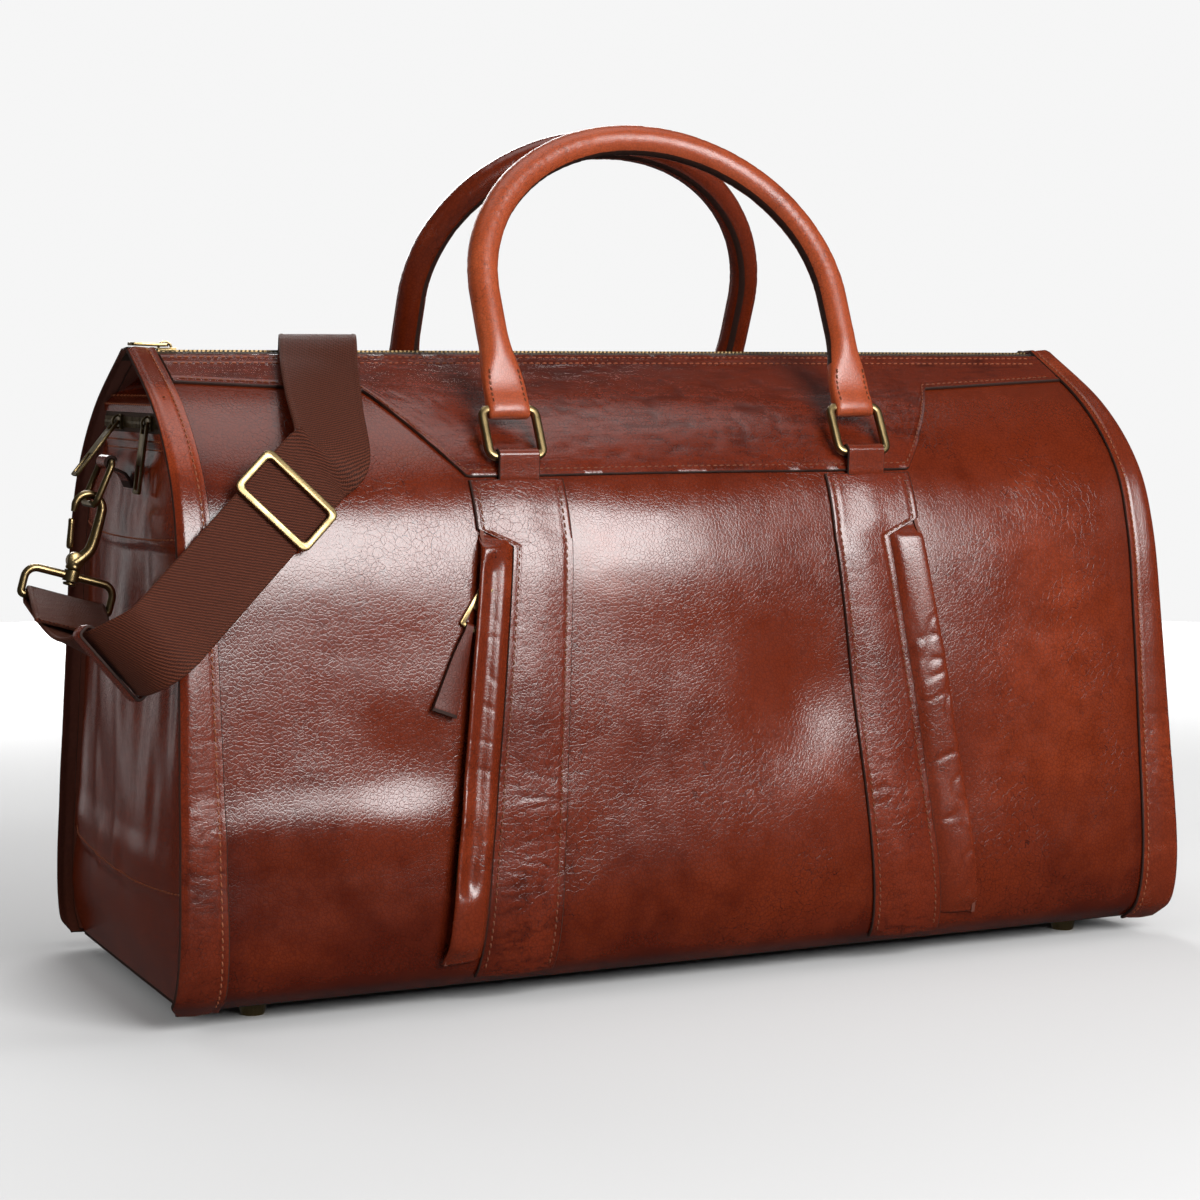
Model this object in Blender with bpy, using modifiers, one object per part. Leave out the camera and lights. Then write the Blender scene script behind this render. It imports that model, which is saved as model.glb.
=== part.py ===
"""Weekender bag: a leather holdall with a zipped top, two carrying handles and a shoulder strap.

Frame: +Z up, X along the zip, -Y the front. The origin is on the ground under the bag's middle.
"""

import math

import bmesh
import bpy
import numpy as np
from mathutils import Matrix, Vector

# Driving dimensions, in metres.
RIDGE_HEIGHT = 0.310
HALF_TOP = 0.262  # half the length at the zip
HALF_BASE = 0.273  # half the length at the ground
LEATHER = 0.0016
OVERLAY = 0.0014  # yokes, trims and patches, sewn on over the panels
GAP = 0.0003  # between pieces that touch
BASE_Z = 0.0085
PANEL_TOP = 0.3030  # the panels end here, and the yokes carry on to the zip
TRIM_INNER = 0.2485
FLANGE = 0.008  # how far the trims stand out past the panels
GUSSET_INSET = 0.011
WEBBING_WIDTH = 0.038
WEBBING = 0.0016
HANDLE_X = 0.095
HANDLE_RADIUS = 0.0074
HANDLE_RISE = 0.152  # ring bar to the top of the arch, along the handle
HANDLE_LEAN = math.radians(24)
RING_LEAN = math.radians(27)
RING_BAR = 0.0020
RING_WIDTH = 0.0275  # between the middles of the bars
RING_HEIGHT = 0.0245
ZIP_END = 0.250

# The front's outline in cross-section, as (depth, height): ridge, slope, shoulder, side, foot.
SECTION = [
    (0.003, 0.3095),
    (0.054, 0.2810),
    (0.085, 0.2500),
    (0.099, 0.2150),
    (0.1055, 0.1650),
    (0.1115, 0.1050),
    (0.1165, 0.0500),
    (0.1120, 0.0205),
    (0.0985, 0.0085),
]
SECTION_STEPS = 3

COGNAC = (0.30, 0.075, 0.035)
TAN = (0.42, 0.12, 0.05)
DARK_WEB = (0.055, 0.022, 0.016)
ANTIQUE_BRASS = (0.62, 0.50, 0.28)
COLOURS = {
    "leather": (COGNAC, 0.38, 0.0),
    "trim leather": (TAN, 0.40, 0.0),
    "webbing": (DARK_WEB, 0.80, 0.0),
    "brass": (ANTIQUE_BRASS, 0.30, 1.0),
    "lining": ((0.10, 0.06, 0.04), 0.9, 0.0),
    "base": ((0.02, 0.017, 0.015), 0.6, 0.0),
    "board": ((0.35, 0.27, 0.18), 0.9, 0.0),
    "zip tape": ((0.05, 0.03, 0.02), 0.85, 0.0),
}


# Scene helpers.


def collection(name, hidden=False):
    found = bpy.data.collections.new(name)
    bpy.context.scene.collection.children.link(found)
    found.hide_render = hidden
    return found


def material(name, kind):
    colour, roughness, metallic = COLOURS[kind]
    made = bpy.data.materials.new(name)
    made.use_nodes = True
    shader = made.node_tree.nodes["Principled BSDF"]
    shader.inputs["Base Color"].default_value = (*colour, 1.0)
    shader.inputs["Roughness"].default_value = roughness
    shader.inputs["Metallic"].default_value = metallic
    made.diffuse_color = (*colour, 1.0)
    return made


def link(name, data, kind, parent=None):
    made = bpy.data.objects.new(name, data)
    bag.objects.link(made)
    data.materials.append(material(name, kind))
    if parent:
        made.parent = parent
    return made


def pivot(name, place):
    made = bpy.data.objects.new(name, None)
    made.empty_display_size = 0.01
    bag.objects.link(made)
    made.location = place
    return made


def hang(child, parent):
    """Parent a piece that was made in world coordinates, leaving it where it is."""
    bpy.context.view_layer.update()
    child.parent = parent
    child.matrix_parent_inverse = parent.matrix_world.inverted()


def grid_mesh(name, rows):
    """An open surface through rows of points."""
    wide = len(rows[0])
    points = [p for row in rows for p in row]
    faces = [
        (i * wide + k, i * wide + k + 1, (i + 1) * wide + k + 1, (i + 1) * wide + k)
        for i in range(len(rows) - 1)
        for k in range(wide - 1)
    ]
    mesh = bpy.data.meshes.new(name)
    mesh.from_pydata([tuple(p) for p in points], [], faces)
    return mesh


def thicken(made, thickness, even=False):
    solid = made.modifiers.new("Thickness", "SOLIDIFY")
    solid.thickness = thickness
    solid.offset = 0.0
    solid.use_even_offset = even
    return made


def sheet(name, rows, thickness, kind, parent=None):
    return thicken(link(name, grid_mesh(name, rows), kind, parent), thickness)


def mesh_of(name, bm, kind, parent=None):
    mesh = bpy.data.meshes.new(name)
    bm.normal_update()
    bm.to_mesh(mesh)
    bm.free()
    return link(name, mesh, kind, parent)


def wire(name, points, radius, kind, closed=False, sides=2):
    """A round bar along a line of points."""
    curve = bpy.data.curves.new(name, "CURVE")
    curve.dimensions = "3D"
    curve.bevel_depth = radius
    curve.bevel_resolution = sides
    curve.use_fill_caps = not closed
    spline = curve.splines.new("POLY")
    spline.points.add(len(points) - 1)
    for at, p in zip(spline.points, points):
        at.co = (*p, 1.0)
    spline.use_cyclic_u = closed
    return link(name, curve, kind)


def as_mesh(curved):
    """Replace a curve object by its closed mesh."""
    bpy.context.view_layer.update()
    seen = curved.evaluated_get(bpy.context.evaluated_depsgraph_get())
    mesh = bpy.data.meshes.new_from_object(seen)
    bm = bmesh.new()
    bm.from_mesh(mesh)
    bmesh.ops.remove_doubles(bm, verts=bm.verts, dist=1e-6)
    bmesh.ops.recalc_face_normals(bm, faces=bm.faces)
    bm.to_mesh(mesh)
    bm.free()
    name, place = curved.name, curved.matrix_world.copy()
    bpy.data.objects.remove(curved)
    made = bpy.data.objects.new(name, mesh)
    bag.objects.link(made)
    made.matrix_world = place
    return made


def join(made, other):
    """Union with a helper solid, which becomes a hidden cutter."""
    for used in list(other.users_collection):
        used.objects.unlink(other)
    cutters.objects.link(other)
    other.hide_render = True
    other.display_type = "WIRE"
    union = made.modifiers.new("Join " + other.name, "BOOLEAN")
    union.operation = "UNION"
    union.object = other
    return made


def cut(made, other):
    join(made, other)
    made.modifiers[-1].operation = "DIFFERENCE"
    return made


def block(name, size, place, kind, turn=None, bevel=0.0):
    bm = bmesh.new()
    bmesh.ops.create_cube(bm, size=1.0)
    bmesh.ops.scale(bm, vec=size, verts=bm.verts)
    made = mesh_of(name, bm, kind)
    made.matrix_world = Matrix.Translation(place) @ (turn or Matrix())
    if bevel:
        edge = made.modifiers.new("Edges", "BEVEL")
        edge.width = bevel
        edge.segments = 2
    return made


def drum(name, radius, length, place, turn, kind, sides=16):
    bm = bmesh.new()
    bmesh.ops.create_cone(
        bm,
        cap_ends=True,
        segments=sides,
        radius1=radius,
        radius2=radius,
        depth=length,
    )
    made = mesh_of(name, bm, kind)
    made.matrix_world = Matrix.Translation(place) @ turn
    return made


def extruded(name, outline, start, end, kind):
    """A solid with this outline in the YZ plane, running along X."""
    bm = bmesh.new()
    face = bm.faces.new([bm.verts.new((start, y, z)) for y, z in outline])
    grown = bmesh.ops.extrude_face_region(bm, geom=[face])
    moved = [v for v in grown["geom"] if isinstance(v, bmesh.types.BMVert)]
    bmesh.ops.translate(bm, verts=moved, vec=(end - start, 0, 0))
    bmesh.ops.recalc_face_normals(bm, faces=bm.faces)
    return mesh_of(name, bm, kind)


def axes(across, along, out):
    """A rotation whose X, Y and Z go along three directions."""
    return Matrix((across, along, out)).transposed().to_4x4()


def arc(middle, radius, start, end, steps):
    """Points on an arc in a plane, with angles in degrees."""
    angles = np.radians(np.linspace(start, end, steps + 1))
    return [
        (middle[0] + radius * math.cos(a), middle[1] + radius * math.sin(a)) for a in angles
    ]


def rounded_rectangle(width, height, radius, steps=3):
    """Outline centred on the origin, anticlockwise."""
    x, y = width / 2 - radius, height / 2 - radius
    return (
        arc((x, y), radius, 0, 90, steps)
        + arc((-x, y), radius, 90, 180, steps)
        + arc((-x, -y), radius, 180, 270, steps)
        + arc((x, -y), radius, 270, 360, steps)
    )


# The bag's outer skin.


def through(points, steps):
    """A Catmull-Rom curve through points."""
    p = [np.array(q, float) for q in points]
    p = [2 * p[0] - p[1], *p, 2 * p[-1] - p[-2]]
    made = []
    for a, b, c, d in zip(p, p[1:], p[2:], p[3:]):
        for k in range(steps):
            t = k / steps
            made.append(
                0.5
                * (
                    2 * b
                    + (c - a) * t
                    + (2 * a - 5 * b + 4 * c - d) * t**2
                    + (3 * b - a - 3 * c + d) * t**3
                )
            )
    return np.array([*made, p[-2]])


STATIONS = through(SECTION, SECTION_STEPS)
RUN = np.concatenate([[0], np.cumsum(np.linalg.norm(np.diff(STATIONS, axis=0), axis=1))])


def station_normals():
    """Outward offsets at the stations that keep every facet parallel to itself."""
    along = np.diff(STATIONS, axis=0)
    along = along / np.linalg.norm(along, axis=1)[:, None]
    facet = np.stack([-along[:, 1], along[:, 0]], axis=1)
    first, last = np.vstack([facet[:1], facet]), np.vstack([facet, facet[-1:]])
    both = first + last
    both = both / np.linalg.norm(both, axis=1)[:, None]
    return both / (both * last).sum(1)[:, None]


NORMALS = station_normals()


def down(height):
    """Distance down the skin at which it has this height."""
    return float(np.interp(-height, -STATIONS[:, 1], RUN))


def skin(run, out=0.0):
    """Depth and height of the skin at a distance down from the ridge."""
    placed = STATIONS + out * NORMALS
    return np.array([np.interp(run, RUN, placed[:, k]) for k in range(2)])


def at(x, height, out=0.0, side=-1):
    """A point on the front (side -1) or the back (+1), by its height on the skin."""
    depth, z = skin(down(height), out)
    return Vector((x, side * depth, z))


def outward(height, side=-1):
    a, b = at(0, height, 0, side), at(0, height, 0.001, side)
    return (b - a).normalized()


def half_length(height):
    return HALF_TOP + (HALF_BASE - HALF_TOP) * (1 - height / RIDGE_HEIGHT)


def smooth(value):
    value = min(max(value, 0.0), 1.0)
    return value * value * (3 - 2 * value)


def panel_piece(name, outline, out, thickness, kind, side=-1):
    """A flat pattern piece laid on the skin, by corners given as (x, height)."""
    bm = bmesh.new()
    bm.faces.new([bm.verts.new((x, down(z), 0)) for x, z in outline])
    low, high = (f(down(z) for _, z in outline) for f in (min, max))
    for run in RUN:
        if low + 1e-5 < run < high - 1e-5:
            bmesh.ops.bisect_plane(
                bm,
                geom=[*bm.verts, *bm.edges, *bm.faces],
                dist=1e-7,
                plane_co=(0, run, 0),
                plane_no=(0, 1, 0),
            )
    for v in bm.verts:
        depth, z = skin(v.co.y, out)
        v.co = (v.co.x, side * depth, z)
    return thicken(mesh_of(name, bm, kind), thickness, even=True)


def make_panels():
    top, foot = PANEL_TOP, SECTION[-1][1]
    for name, side in (("front_panel", -1), ("back_panel", 1)):
        outline = [
            (-half_length(top) + FLANGE, top),
            (half_length(top) - FLANGE, top),
            (half_length(foot) - FLANGE, foot),
            (-half_length(foot) + FLANGE, foot),
        ]
        panel_piece(name, outline, -LEATHER / 2, LEATHER, "leather", side)


def make_yokes():
    out = GAP + OVERLAY / 2
    right = [(TRIM_INNER - GAP, 0.3078), (TRIM_INNER - GAP, 0.2925)]
    right += [(0.157, 0.2880), (0.121, 0.2480)]
    outline = right + [(-x, z) for x, z in reversed(right)]
    for name, side in (("front_yoke", -1), ("back_yoke", 1)):
        panel_piece(name, outline, out, OVERLAY, "leather", side)


def make_trims():
    out = GAP + OVERLAY / 2
    top, foot = 0.3085, SECTION[-1][1]
    for face, side in (("front", -1), ("back", 1)):
        for end, way in (("left", -1), ("right", 1)):
            outline = [
                (way * TRIM_INNER, top),
                (way * half_length(top), top),
                (way * half_length(foot), foot),
                (way * TRIM_INNER, foot),
            ]
            panel_piece(f"{face}_{end}_trim", outline, out, OVERLAY, "trim leather", side)


PATCH_TOP, PATCH_FOOT = 0.2465, 0.0150
PATCH_INNER = (0.072, 0.087)
PATCH_HEAD = 0.1205  # the wide head under the ring loop
HEAD_FOOT, STEP_FOOT = 0.2240, 0.2160
STRAP_OUTER = (0.103, 0.127)
PLACKET_OUTER = (0.1210, 0.1475)
PLACKET_TOP, PLACKET_FOOT = 0.2140, 0.0240


def patch_edge(ends, height, top=STEP_FOOT, foot=PATCH_FOOT):
    """The edges of the patches splay as they go down."""
    return ends[0] + (ends[1] - ends[0]) * (top - height) / (top - foot)


def make_patches():
    out = GAP + OVERLAY / 2
    for face, side in (("front", -1), ("back", 1)):
        for end, way in (("left", -1), ("right", 1)):
            outline = [
                (way * PATCH_INNER[0], PATCH_TOP),
                (way * PATCH_HEAD, PATCH_TOP),
                (way * PATCH_HEAD, HEAD_FOOT),
                (way * STRAP_OUTER[0], STEP_FOOT),
                (way * STRAP_OUTER[1], PATCH_FOOT),
                (way * PATCH_INNER[1], PATCH_FOOT),
            ]
            panel_piece(f"{face}_{end}_patch", outline, out, OVERLAY, "leather", side)


def make_plackets():
    """Strips beside the patches that stand proud and cover the front pocket's zips."""
    for end, way, rise in (("left", -1, 0.0052), ("right", 1, 0.0030)):
        rows = []
        first, last = down(PLACKET_TOP), down(PLACKET_FOOT)
        runs = [first, *[r for r in RUN if first < r < last], last]
        for run in runs:
            height = float(np.interp(run, RUN, STATIONS[:, 1]))
            inner = patch_edge(STRAP_OUTER, height) + 0.0008
            outer = patch_edge(PLACKET_OUTER, height)
            row = []
            for k in range(6):
                u = k / 5
                lift = GAP + OVERLAY / 2 + rise * smooth(u * 2.2)
                depth, z = skin(run, lift)
                row.append((way * (inner + (outer - inner) * u), -depth, z))
            rows.append(row)
        sheet(f"{end}_placket", rows, OVERLAY, "trim leather")


# The base, the stiffener and the lining.


def plate(name, width, depth, low, high, corner, kind):
    outline = rounded_rectangle(width, depth, corner, 4)
    bm = bmesh.new()
    face = bm.faces.new([bm.verts.new((x, y, low)) for x, y in outline])
    grown = bmesh.ops.extrude_face_region(bm, geom=[face])
    moved = [v for v in grown["geom"] if isinstance(v, bmesh.types.BMVert)]
    bmesh.ops.translate(bm, verts=moved, vec=(0, 0, high - low))
    bmesh.ops.recalc_face_normals(bm, faces=bm.faces)
    return mesh_of(name, bm, kind)


def make_base():
    plate("base_panel", 0.522, 0.192, BASE_Z, BASE_Z + 0.002, 0.012, "base")
    plate("base_board", 0.500, 0.176, BASE_Z + 0.0024, BASE_Z + 0.0054, 0.010, "board")
    for face, y in (("front", -0.078), ("back", 0.078)):
        for end, x in (("left", -0.226), ("right", 0.226)):
            bm = bmesh.new()
            bmesh.ops.create_cone(
                bm, cap_ends=True, segments=20, radius1=0.0055, radius2=0.0075, depth=0.0082
            )
            foot = mesh_of(f"{face}_{end}_foot", bm, "brass")
            foot.location = (x, y, 0.0041)


def gusset_x(y, height, inset=GUSSET_INSET):
    """How far out an end wall stands: it bulges low down and folds inward under the zip."""
    wide = skin(down(height), -0.002)[0]
    across = 1 - min(abs(y) / wide, 1.0) ** 2
    belly = 0.009 * across * smooth((height - 0.02) / 0.06) * smooth((0.272 - height) / 0.02)
    fold = 0.040 * across * smooth((height - 0.279) / 0.016)
    return half_length(height) - inset + belly - fold


def make_gussets():
    heights = [0.3010, 0.2960, 0.2910, 0.2870, 0.2830, 0.2790, 0.2700]
    heights += [0.2630, 0.2560, 0.2300, 0.1700, 0.1100, 0.0700, 0.0400, 0.0230, 0.0130]
    for name, way in (("left_gusset", -1), ("right_gusset", 1)):
        rows = []
        for height in heights:
            depth, z = skin(down(height), -0.0024)
            ys = np.linspace(-depth, depth, 11)
            rows.append([(way * gusset_x(y, height), y, z) for y in ys])
        sheet(name, rows, OVERLAY, "leather")


def make_lining():
    """An open-topped inner bag, one sheet right round."""
    top, corner, floor = 0.268, 0.036, BASE_Z + 0.0066
    first, last = down(top), down(corner)
    runs = [first, *[r for r in RUN[1::3] if first < r < last], last]
    sides = [skin(r, -0.0062) for r in runs] + [np.array((0.0940, floor))]
    ends = [half_length(z) - 0.0140 for _, z in sides]
    shares = np.linspace(-1, 1, 4)
    bm = bmesh.new()

    def strip(rows):
        rows = [[bm.verts.new(p) for p in row] for row in rows]
        for a, b in zip(rows, rows[1:]):
            for k in range(len(a) - 1):
                bm.faces.new((a[k], a[k + 1], b[k + 1], b[k]))

    for side in (-1, 1):
        strip([[(s * x, side * y, z) for s in shares] for (y, z), x in zip(sides, ends)])
        strip([[(side * x, s * y, z) for s in shares] for (y, z), x in zip(sides, ends)])
    strip([[(s * ends[-1], t * sides[-1][0], sides[-1][1]) for s in shares] for t in shares])
    bmesh.ops.remove_doubles(bm, verts=bm.verts, dist=1e-6)
    bmesh.ops.recalc_face_normals(bm, faces=bm.faces)
    thicken(mesh_of("lining", bm, "lining"), 0.0008)


# Zips, sliders and pulls. A zip's own frame has X along it, Y across and Z out of the bag.

TEETH_OUTER, TEETH_INNER = 0.0026, 0.0005
TEETH, TAPE = 0.0010, 0.0003  # half thicknesses
SLIDER_LENGTH = 0.0095
SLIDER_HALF, SLIDER_TOP, PLATE = 0.0038, 0.0013, 0.0008
LIP, POST = 0.0007, 0.00025
BRIDGE_WIRE, BRIDGE_RADIUS, BRIDGE_Z = 0.0006, 0.0031, 0.0019
EYE_Z = 0.0033  # a pull turns about this height, under the bridge
EYE_BACK, EYE_BAR, EYE_WINDOW = 0.0008, 0.0014, 0.0044
PULL, PULL_WIDTH = 0.0010, 0.0100


def slider(name, frame, turn=0):
    """Two plates on a post that runs between the tapes, with a bridge for the pull."""
    outer = SLIDER_TOP + PLATE
    right = [
        (POST, -SLIDER_TOP),
        (SLIDER_HALF, -SLIDER_TOP),
        (SLIDER_HALF, -outer),
    ]
    left = [(-y, z) for y, z in reversed(right)]
    over = [
        (-POST, SLIDER_TOP),
        (-SLIDER_HALF + LIP, SLIDER_TOP),
        (-SLIDER_HALF + LIP, TAPE + 0.0004),
        (-SLIDER_HALF, TAPE + 0.0004),
        (-SLIDER_HALF, outer),
    ]
    over += [(-y, z) for y, z in reversed(over)]
    made = extruded(name, right + left + over, -SLIDER_LENGTH / 2, SLIDER_LENGTH / 2, "brass")
    made.matrix_world = frame
    span = [(x, 0, z) for x, z in arc((0, BRIDGE_Z), BRIDGE_RADIUS, 180, 0, 8)]
    bridge = as_mesh(wire(name + "_bridge", span, BRIDGE_WIRE, "brass"))
    bridge.matrix_world = frame @ Matrix.Rotation(math.radians(turn), 4, "Z")
    return join(made, bridge)


def pull(name, frame, turn, lift, length):
    """A flat pull, its eye under the bridge; it points along X at no turn and no lift."""
    bm = bmesh.new()
    outline = rounded_rectangle(length, PULL_WIDTH, 0.0010, 2)
    middle = length / 2 - EYE_BACK
    face = bm.faces.new([bm.verts.new((x + middle, y, -PULL / 2)) for x, y in outline])
    grown = bmesh.ops.extrude_face_region(bm, geom=[face])
    moved = [v for v in grown["geom"] if isinstance(v, bmesh.types.BMVert)]
    bmesh.ops.translate(bm, verts=moved, vec=(0, 0, PULL))
    bmesh.ops.recalc_face_normals(bm, faces=bm.faces)
    made = mesh_of(name, bm, "brass")
    place = frame @ Matrix.Translation((0, 0, EYE_Z))
    place = place @ Matrix.Rotation(math.radians(turn), 4, "Z")
    made.matrix_world = place @ Matrix.Rotation(math.radians(-lift), 4, "Y")
    eye = EYE_BAR - EYE_BACK + EYE_WINDOW / 2
    end = length - EYE_BACK - 0.0018 - 0.0040
    for k, (x, long) in enumerate(((eye, EYE_WINDOW), (end, 0.0080))):
        hole = block(f"{name}_window_{k}", (long, PULL_WIDTH * 0.54, 0.01), (0, 0, 0), "brass")
        hole.matrix_world = made.matrix_world @ Matrix.Translation((x, 0, 0))
        cut(made, hole)
    return made


def zip_half(side, width, drop=0.0):
    """Outline of a tape with its teeth; past the slider it may drop below the skin."""
    bend = SLIDER_HALF + 0.0003
    outline = [
        (TEETH_INNER, -TEETH),
        (TEETH_OUTER, -TEETH),
        (TEETH_OUTER, -TAPE),
        (bend, -TAPE),
        (bend, -TAPE - drop),
        (width, -TAPE - drop),
        (width, TAPE - drop),
        (bend + 0.0003, TAPE - drop),
        (bend + 0.0003, TAPE),
        (TEETH_OUTER, TAPE),
        (TEETH_OUTER, TEETH),
        (TEETH_INNER, TEETH),
    ]
    if not drop:
        outline = outline[:3] + [(width, -TAPE), (width, TAPE)] + outline[9:]
    return [(side * y, z) for y, z in outline]


def short_zip(name, frame, length, width, drop=0.0):
    """Both tapes of a pocket's zip, joined past their ends."""
    made = extruded(name, zip_half(1, width, drop), -length / 2, length / 2, "zip tape")
    made.matrix_world = frame
    other = extruded(name + "_other", zip_half(-1, width, drop), -length / 2, length / 2, "brass")
    other.matrix_world = frame
    join(made, other)
    for way in (-1, 1):
        stop = block(f"{name}_stop_{way}", (0.002, 0.0050, 0.0018), (0, 0, 0), "brass")
        stop.matrix_world = frame @ Matrix.Translation((way * (length / 2 - 0.001), 0, 0))
        join(made, stop)
    return made


def seated(name, frame, runner, *others):
    """Hang a slider and what is on it from an empty at its place on the zip."""
    seat = pivot(name, frame.translation)
    for piece in (runner, *others):
        hang(piece, seat)


MAIN_ZIP_Z = 0.3075


def main_zip():
    """Two tapes with their teeth, under the edges of the yokes."""
    for name, side in (("front_zip_half", -1), ("back_zip_half", 1)):
        outline = [(y, z + MAIN_ZIP_Z) for y, z in zip_half(1, 0.0046)]
        under = [skin(down(h), -0.0003 - drop) for h, drop in
                 ((0.3058, 0.0006), (0.3037, 0.0006), (0.3037, 0), (0.3058, 0))]
        outline[4:4] = [tuple(p) for p in under]
        outline = [(side * y, z) for y, z in outline]
        extruded(name, outline, -ZIP_END, ZIP_END, "zip tape")
    frame = Matrix.Translation((-ZIP_END + 0.008, 0, MAIN_ZIP_Z))
    runner = slider("main_slider", frame)
    seated("main_slider_seat", frame, runner, pull("main_pull", frame, 180, 2, 0.018))


END_ZIP_X, END_ZIP_Z = 0.2585, 0.2740
END_SLIDERS = (("back", 0.018, 39), ("front", -0.036, 8))


def end_zip():
    """The pocket's zip across the left end, with two sliders."""
    turned = axes((0, -1, 0), (0, 0, 1), (-1, 0, 0))
    frame = Matrix.Translation((-END_ZIP_X, 0, END_ZIP_Z)) @ turned
    short_zip("end_zip", frame, 0.100, 0.0070)
    for name, y, lift in END_SLIDERS:
        place = frame @ Matrix.Translation((-y, 0, 0))
        runner = slider(f"end_{name}_slider", place, 90)
        tab = pull(f"end_{name}_pull", place, -90, lift, 0.034)
        seated(f"end_{name}_seat", place, runner, tab)


POCKET_TOP, POCKET_FOOT = 0.2050, 0.0600
POCKET_EDGE = 0.0068  # the pocket's zip lies this far inside the placket's free edge
POCKET_PULL = 0.022
PULLER_TURN, PULLER_LIFT = 27, 2


def pocket_frame():
    ends = []
    for height in (POCKET_TOP, POCKET_FOOT):
        x = patch_edge(PLACKET_OUTER, height) - POCKET_EDGE
        ends.append(at(-x, height, -0.0008))
    along = (ends[1] - ends[0]).normalized()
    out = outward(0.13)
    out = (out - along * out.dot(along)).normalized()
    turned = axes(along, out.cross(along), out)
    middle = (ends[0] + ends[1]) / 2
    return Matrix.Translation(middle) @ turned, (ends[1] - ends[0]).length


def pocket_zip():
    """The front pocket's zip, in a slit of the front panel under the left placket."""
    frame, length = pocket_frame()
    short_zip("pocket_zip", frame, length, 0.0075, 0.0016)
    slit = block("pocket_slit", (length + 0.004, 0.0096, 0.012), (0, 0, 0), "brass")
    slit.matrix_world = frame
    cut(bpy.data.objects["front_panel"], slit)
    place = frame @ Matrix.Translation((-length / 2 + 0.0095, 0, 0))
    runner = slider("pocket_slider", place)
    tab = pull("pocket_pull", place, -PULLER_TURN, PULLER_LIFT, POCKET_PULL)
    # The leather puller is doubled through the pull's lower window.
    turned = Matrix.Rotation(math.radians(-PULLER_TURN), 4, "Z")
    lifted = Matrix.Rotation(math.radians(-PULLER_LIFT), 4, "Y")
    hanger = place @ Matrix.Translation((0, 0, EYE_Z)) @ turned @ lifted
    hanger = hanger @ Matrix.Translation((POCKET_PULL - EYE_BACK - 0.0009, 0, 0))
    hanger = hanger @ Matrix.Rotation(math.radians(14), 4, "Z")
    turn = arc((0, 0), 0.0021, 90, 270, 8)
    path = [(0.036, 0.0011, 0.0060), (0.024, 0.0011, 0.0050), (0.006, 0.0014, 0.0026)]
    path += [(x, 0.85 * z, 0.0018) for x, z in turn]
    path += [(x, -z, half) for x, z, half in reversed(path[:3])]
    rows = []
    for x, z, half in path:
        row = [hanger @ Vector((x, y, z)) for y in (-half, 0, half)]
        rows.append(row)
    puller = sheet("pocket_puller", rows, 0.0010, "trim leather")
    seated("pocket_slider_seat", place, runner, tab, puller)


# Carrying handles on their rings.

RING_AT = 0.2545  # height on the skin of the rings' lower bars
RING_OFF = 0.0060
LOOP_WIDTH = 0.0210


def ring_axis(side):
    """The line of the rings' lower bars, at X = 0."""
    return at(0, RING_AT, RING_OFF, side)


def ring_up(side):
    return Vector((0, -side * math.sin(RING_LEAN), math.cos(RING_LEAN)))


def handle_up(side):
    return Vector((0, -side * math.sin(HANDLE_LEAN), math.cos(HANDLE_LEAN)))


def make_ring(name, x, side):
    up = ring_up(side)
    middle = ring_axis(side) + Vector((x, 0, 0)) + up * RING_HEIGHT / 2
    outline = rounded_rectangle(RING_WIDTH, RING_HEIGHT, 0.0032)
    points = [middle + Vector((a, 0, 0)) + up * b for a, b in outline]
    return wire(name, points, RING_BAR, "brass", closed=True)


def make_ring_loop(name, x, side):
    """A leather tab that comes up over the yoke's edge and wraps the ring's lower bar."""
    axis, out = ring_axis(side), outward(RING_AT, side)
    slope = Vector((0, -side * out.z, abs(out.y)))
    radius = RING_BAR + GAP + OVERLAY / 2
    start = at(0, 0.2476, 0.0031, side)
    path = [start]
    for a, b in arc((0, 0), radius, -60, 215, 12):
        path.append(axis + out * a + slope * b)
    rows = [[p + Vector((x + w, 0, 0)) for w in (-LOOP_WIDTH / 2, LOOP_WIDTH / 2)] for p in path]
    return sheet(name, rows, OVERLAY, "trim leather")


def make_handle(name, side):
    up = handle_up(side)
    foot = ring_axis(side) + ring_up(side) * RING_HEIGHT
    spring = 0.062
    half = HANDLE_X + 0.0015

    def place(x, rise):
        return foot + Vector((x, 0, 0)) + up * rise

    left = [(-HANDLE_X, 0.0110), (-HANDLE_X - 0.0006, 0.024), (-half, 0.038), (-half, 0.050)]
    top = HANDLE_RISE - 0.0035 - spring
    bow = [(-half * math.cos(a), spring + top * math.sin(a)) for a in np.linspace(0, math.pi, 23)]
    right = [(-x, rise) for x, rise in reversed(left)]
    line = [place(x, rise) for x, rise in left + bow + right]
    made = as_mesh(wire(name, line, HANDLE_RADIUS, "trim leather", sides=3))
    along_x = Matrix.Rotation(math.radians(90), 4, "Y")
    tilt = axes(Vector((1, 0, 0)), up.cross(Vector((1, 0, 0))), up)
    bore = RING_BAR + GAP
    for end, x in (("left", -HANDLE_X), ("right", HANDLE_X)):
        sleeve = drum(
            f"{name}_{end}_sleeve", bore + 0.0017, 0.0200, place(x, 0), along_x, "brass", 20
        )
        join(made, sleeve)
        neck = block(
            f"{name}_{end}_neck", (0.0190, 0.0072, 0.0140), place(x, 0.0088), "brass", tilt, 0.001
        )
        join(made, neck)
        hole = drum(f"{name}_{end}_hole", bore, 0.0300, place(x, 0), along_x, "brass", 16)
        cut(made, hole)
    return made


def make_handles():
    for face, side in (("front", -1), ("back", 1)):
        for end, x in (("left", -HANDLE_X), ("right", HANDLE_X)):
            make_ring(f"{face}_{end}_ring", x, side)
            make_ring_loop(f"{face}_{end}_ring_loop", x, side)
        make_handle(f"{face}_handle", side)


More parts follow.
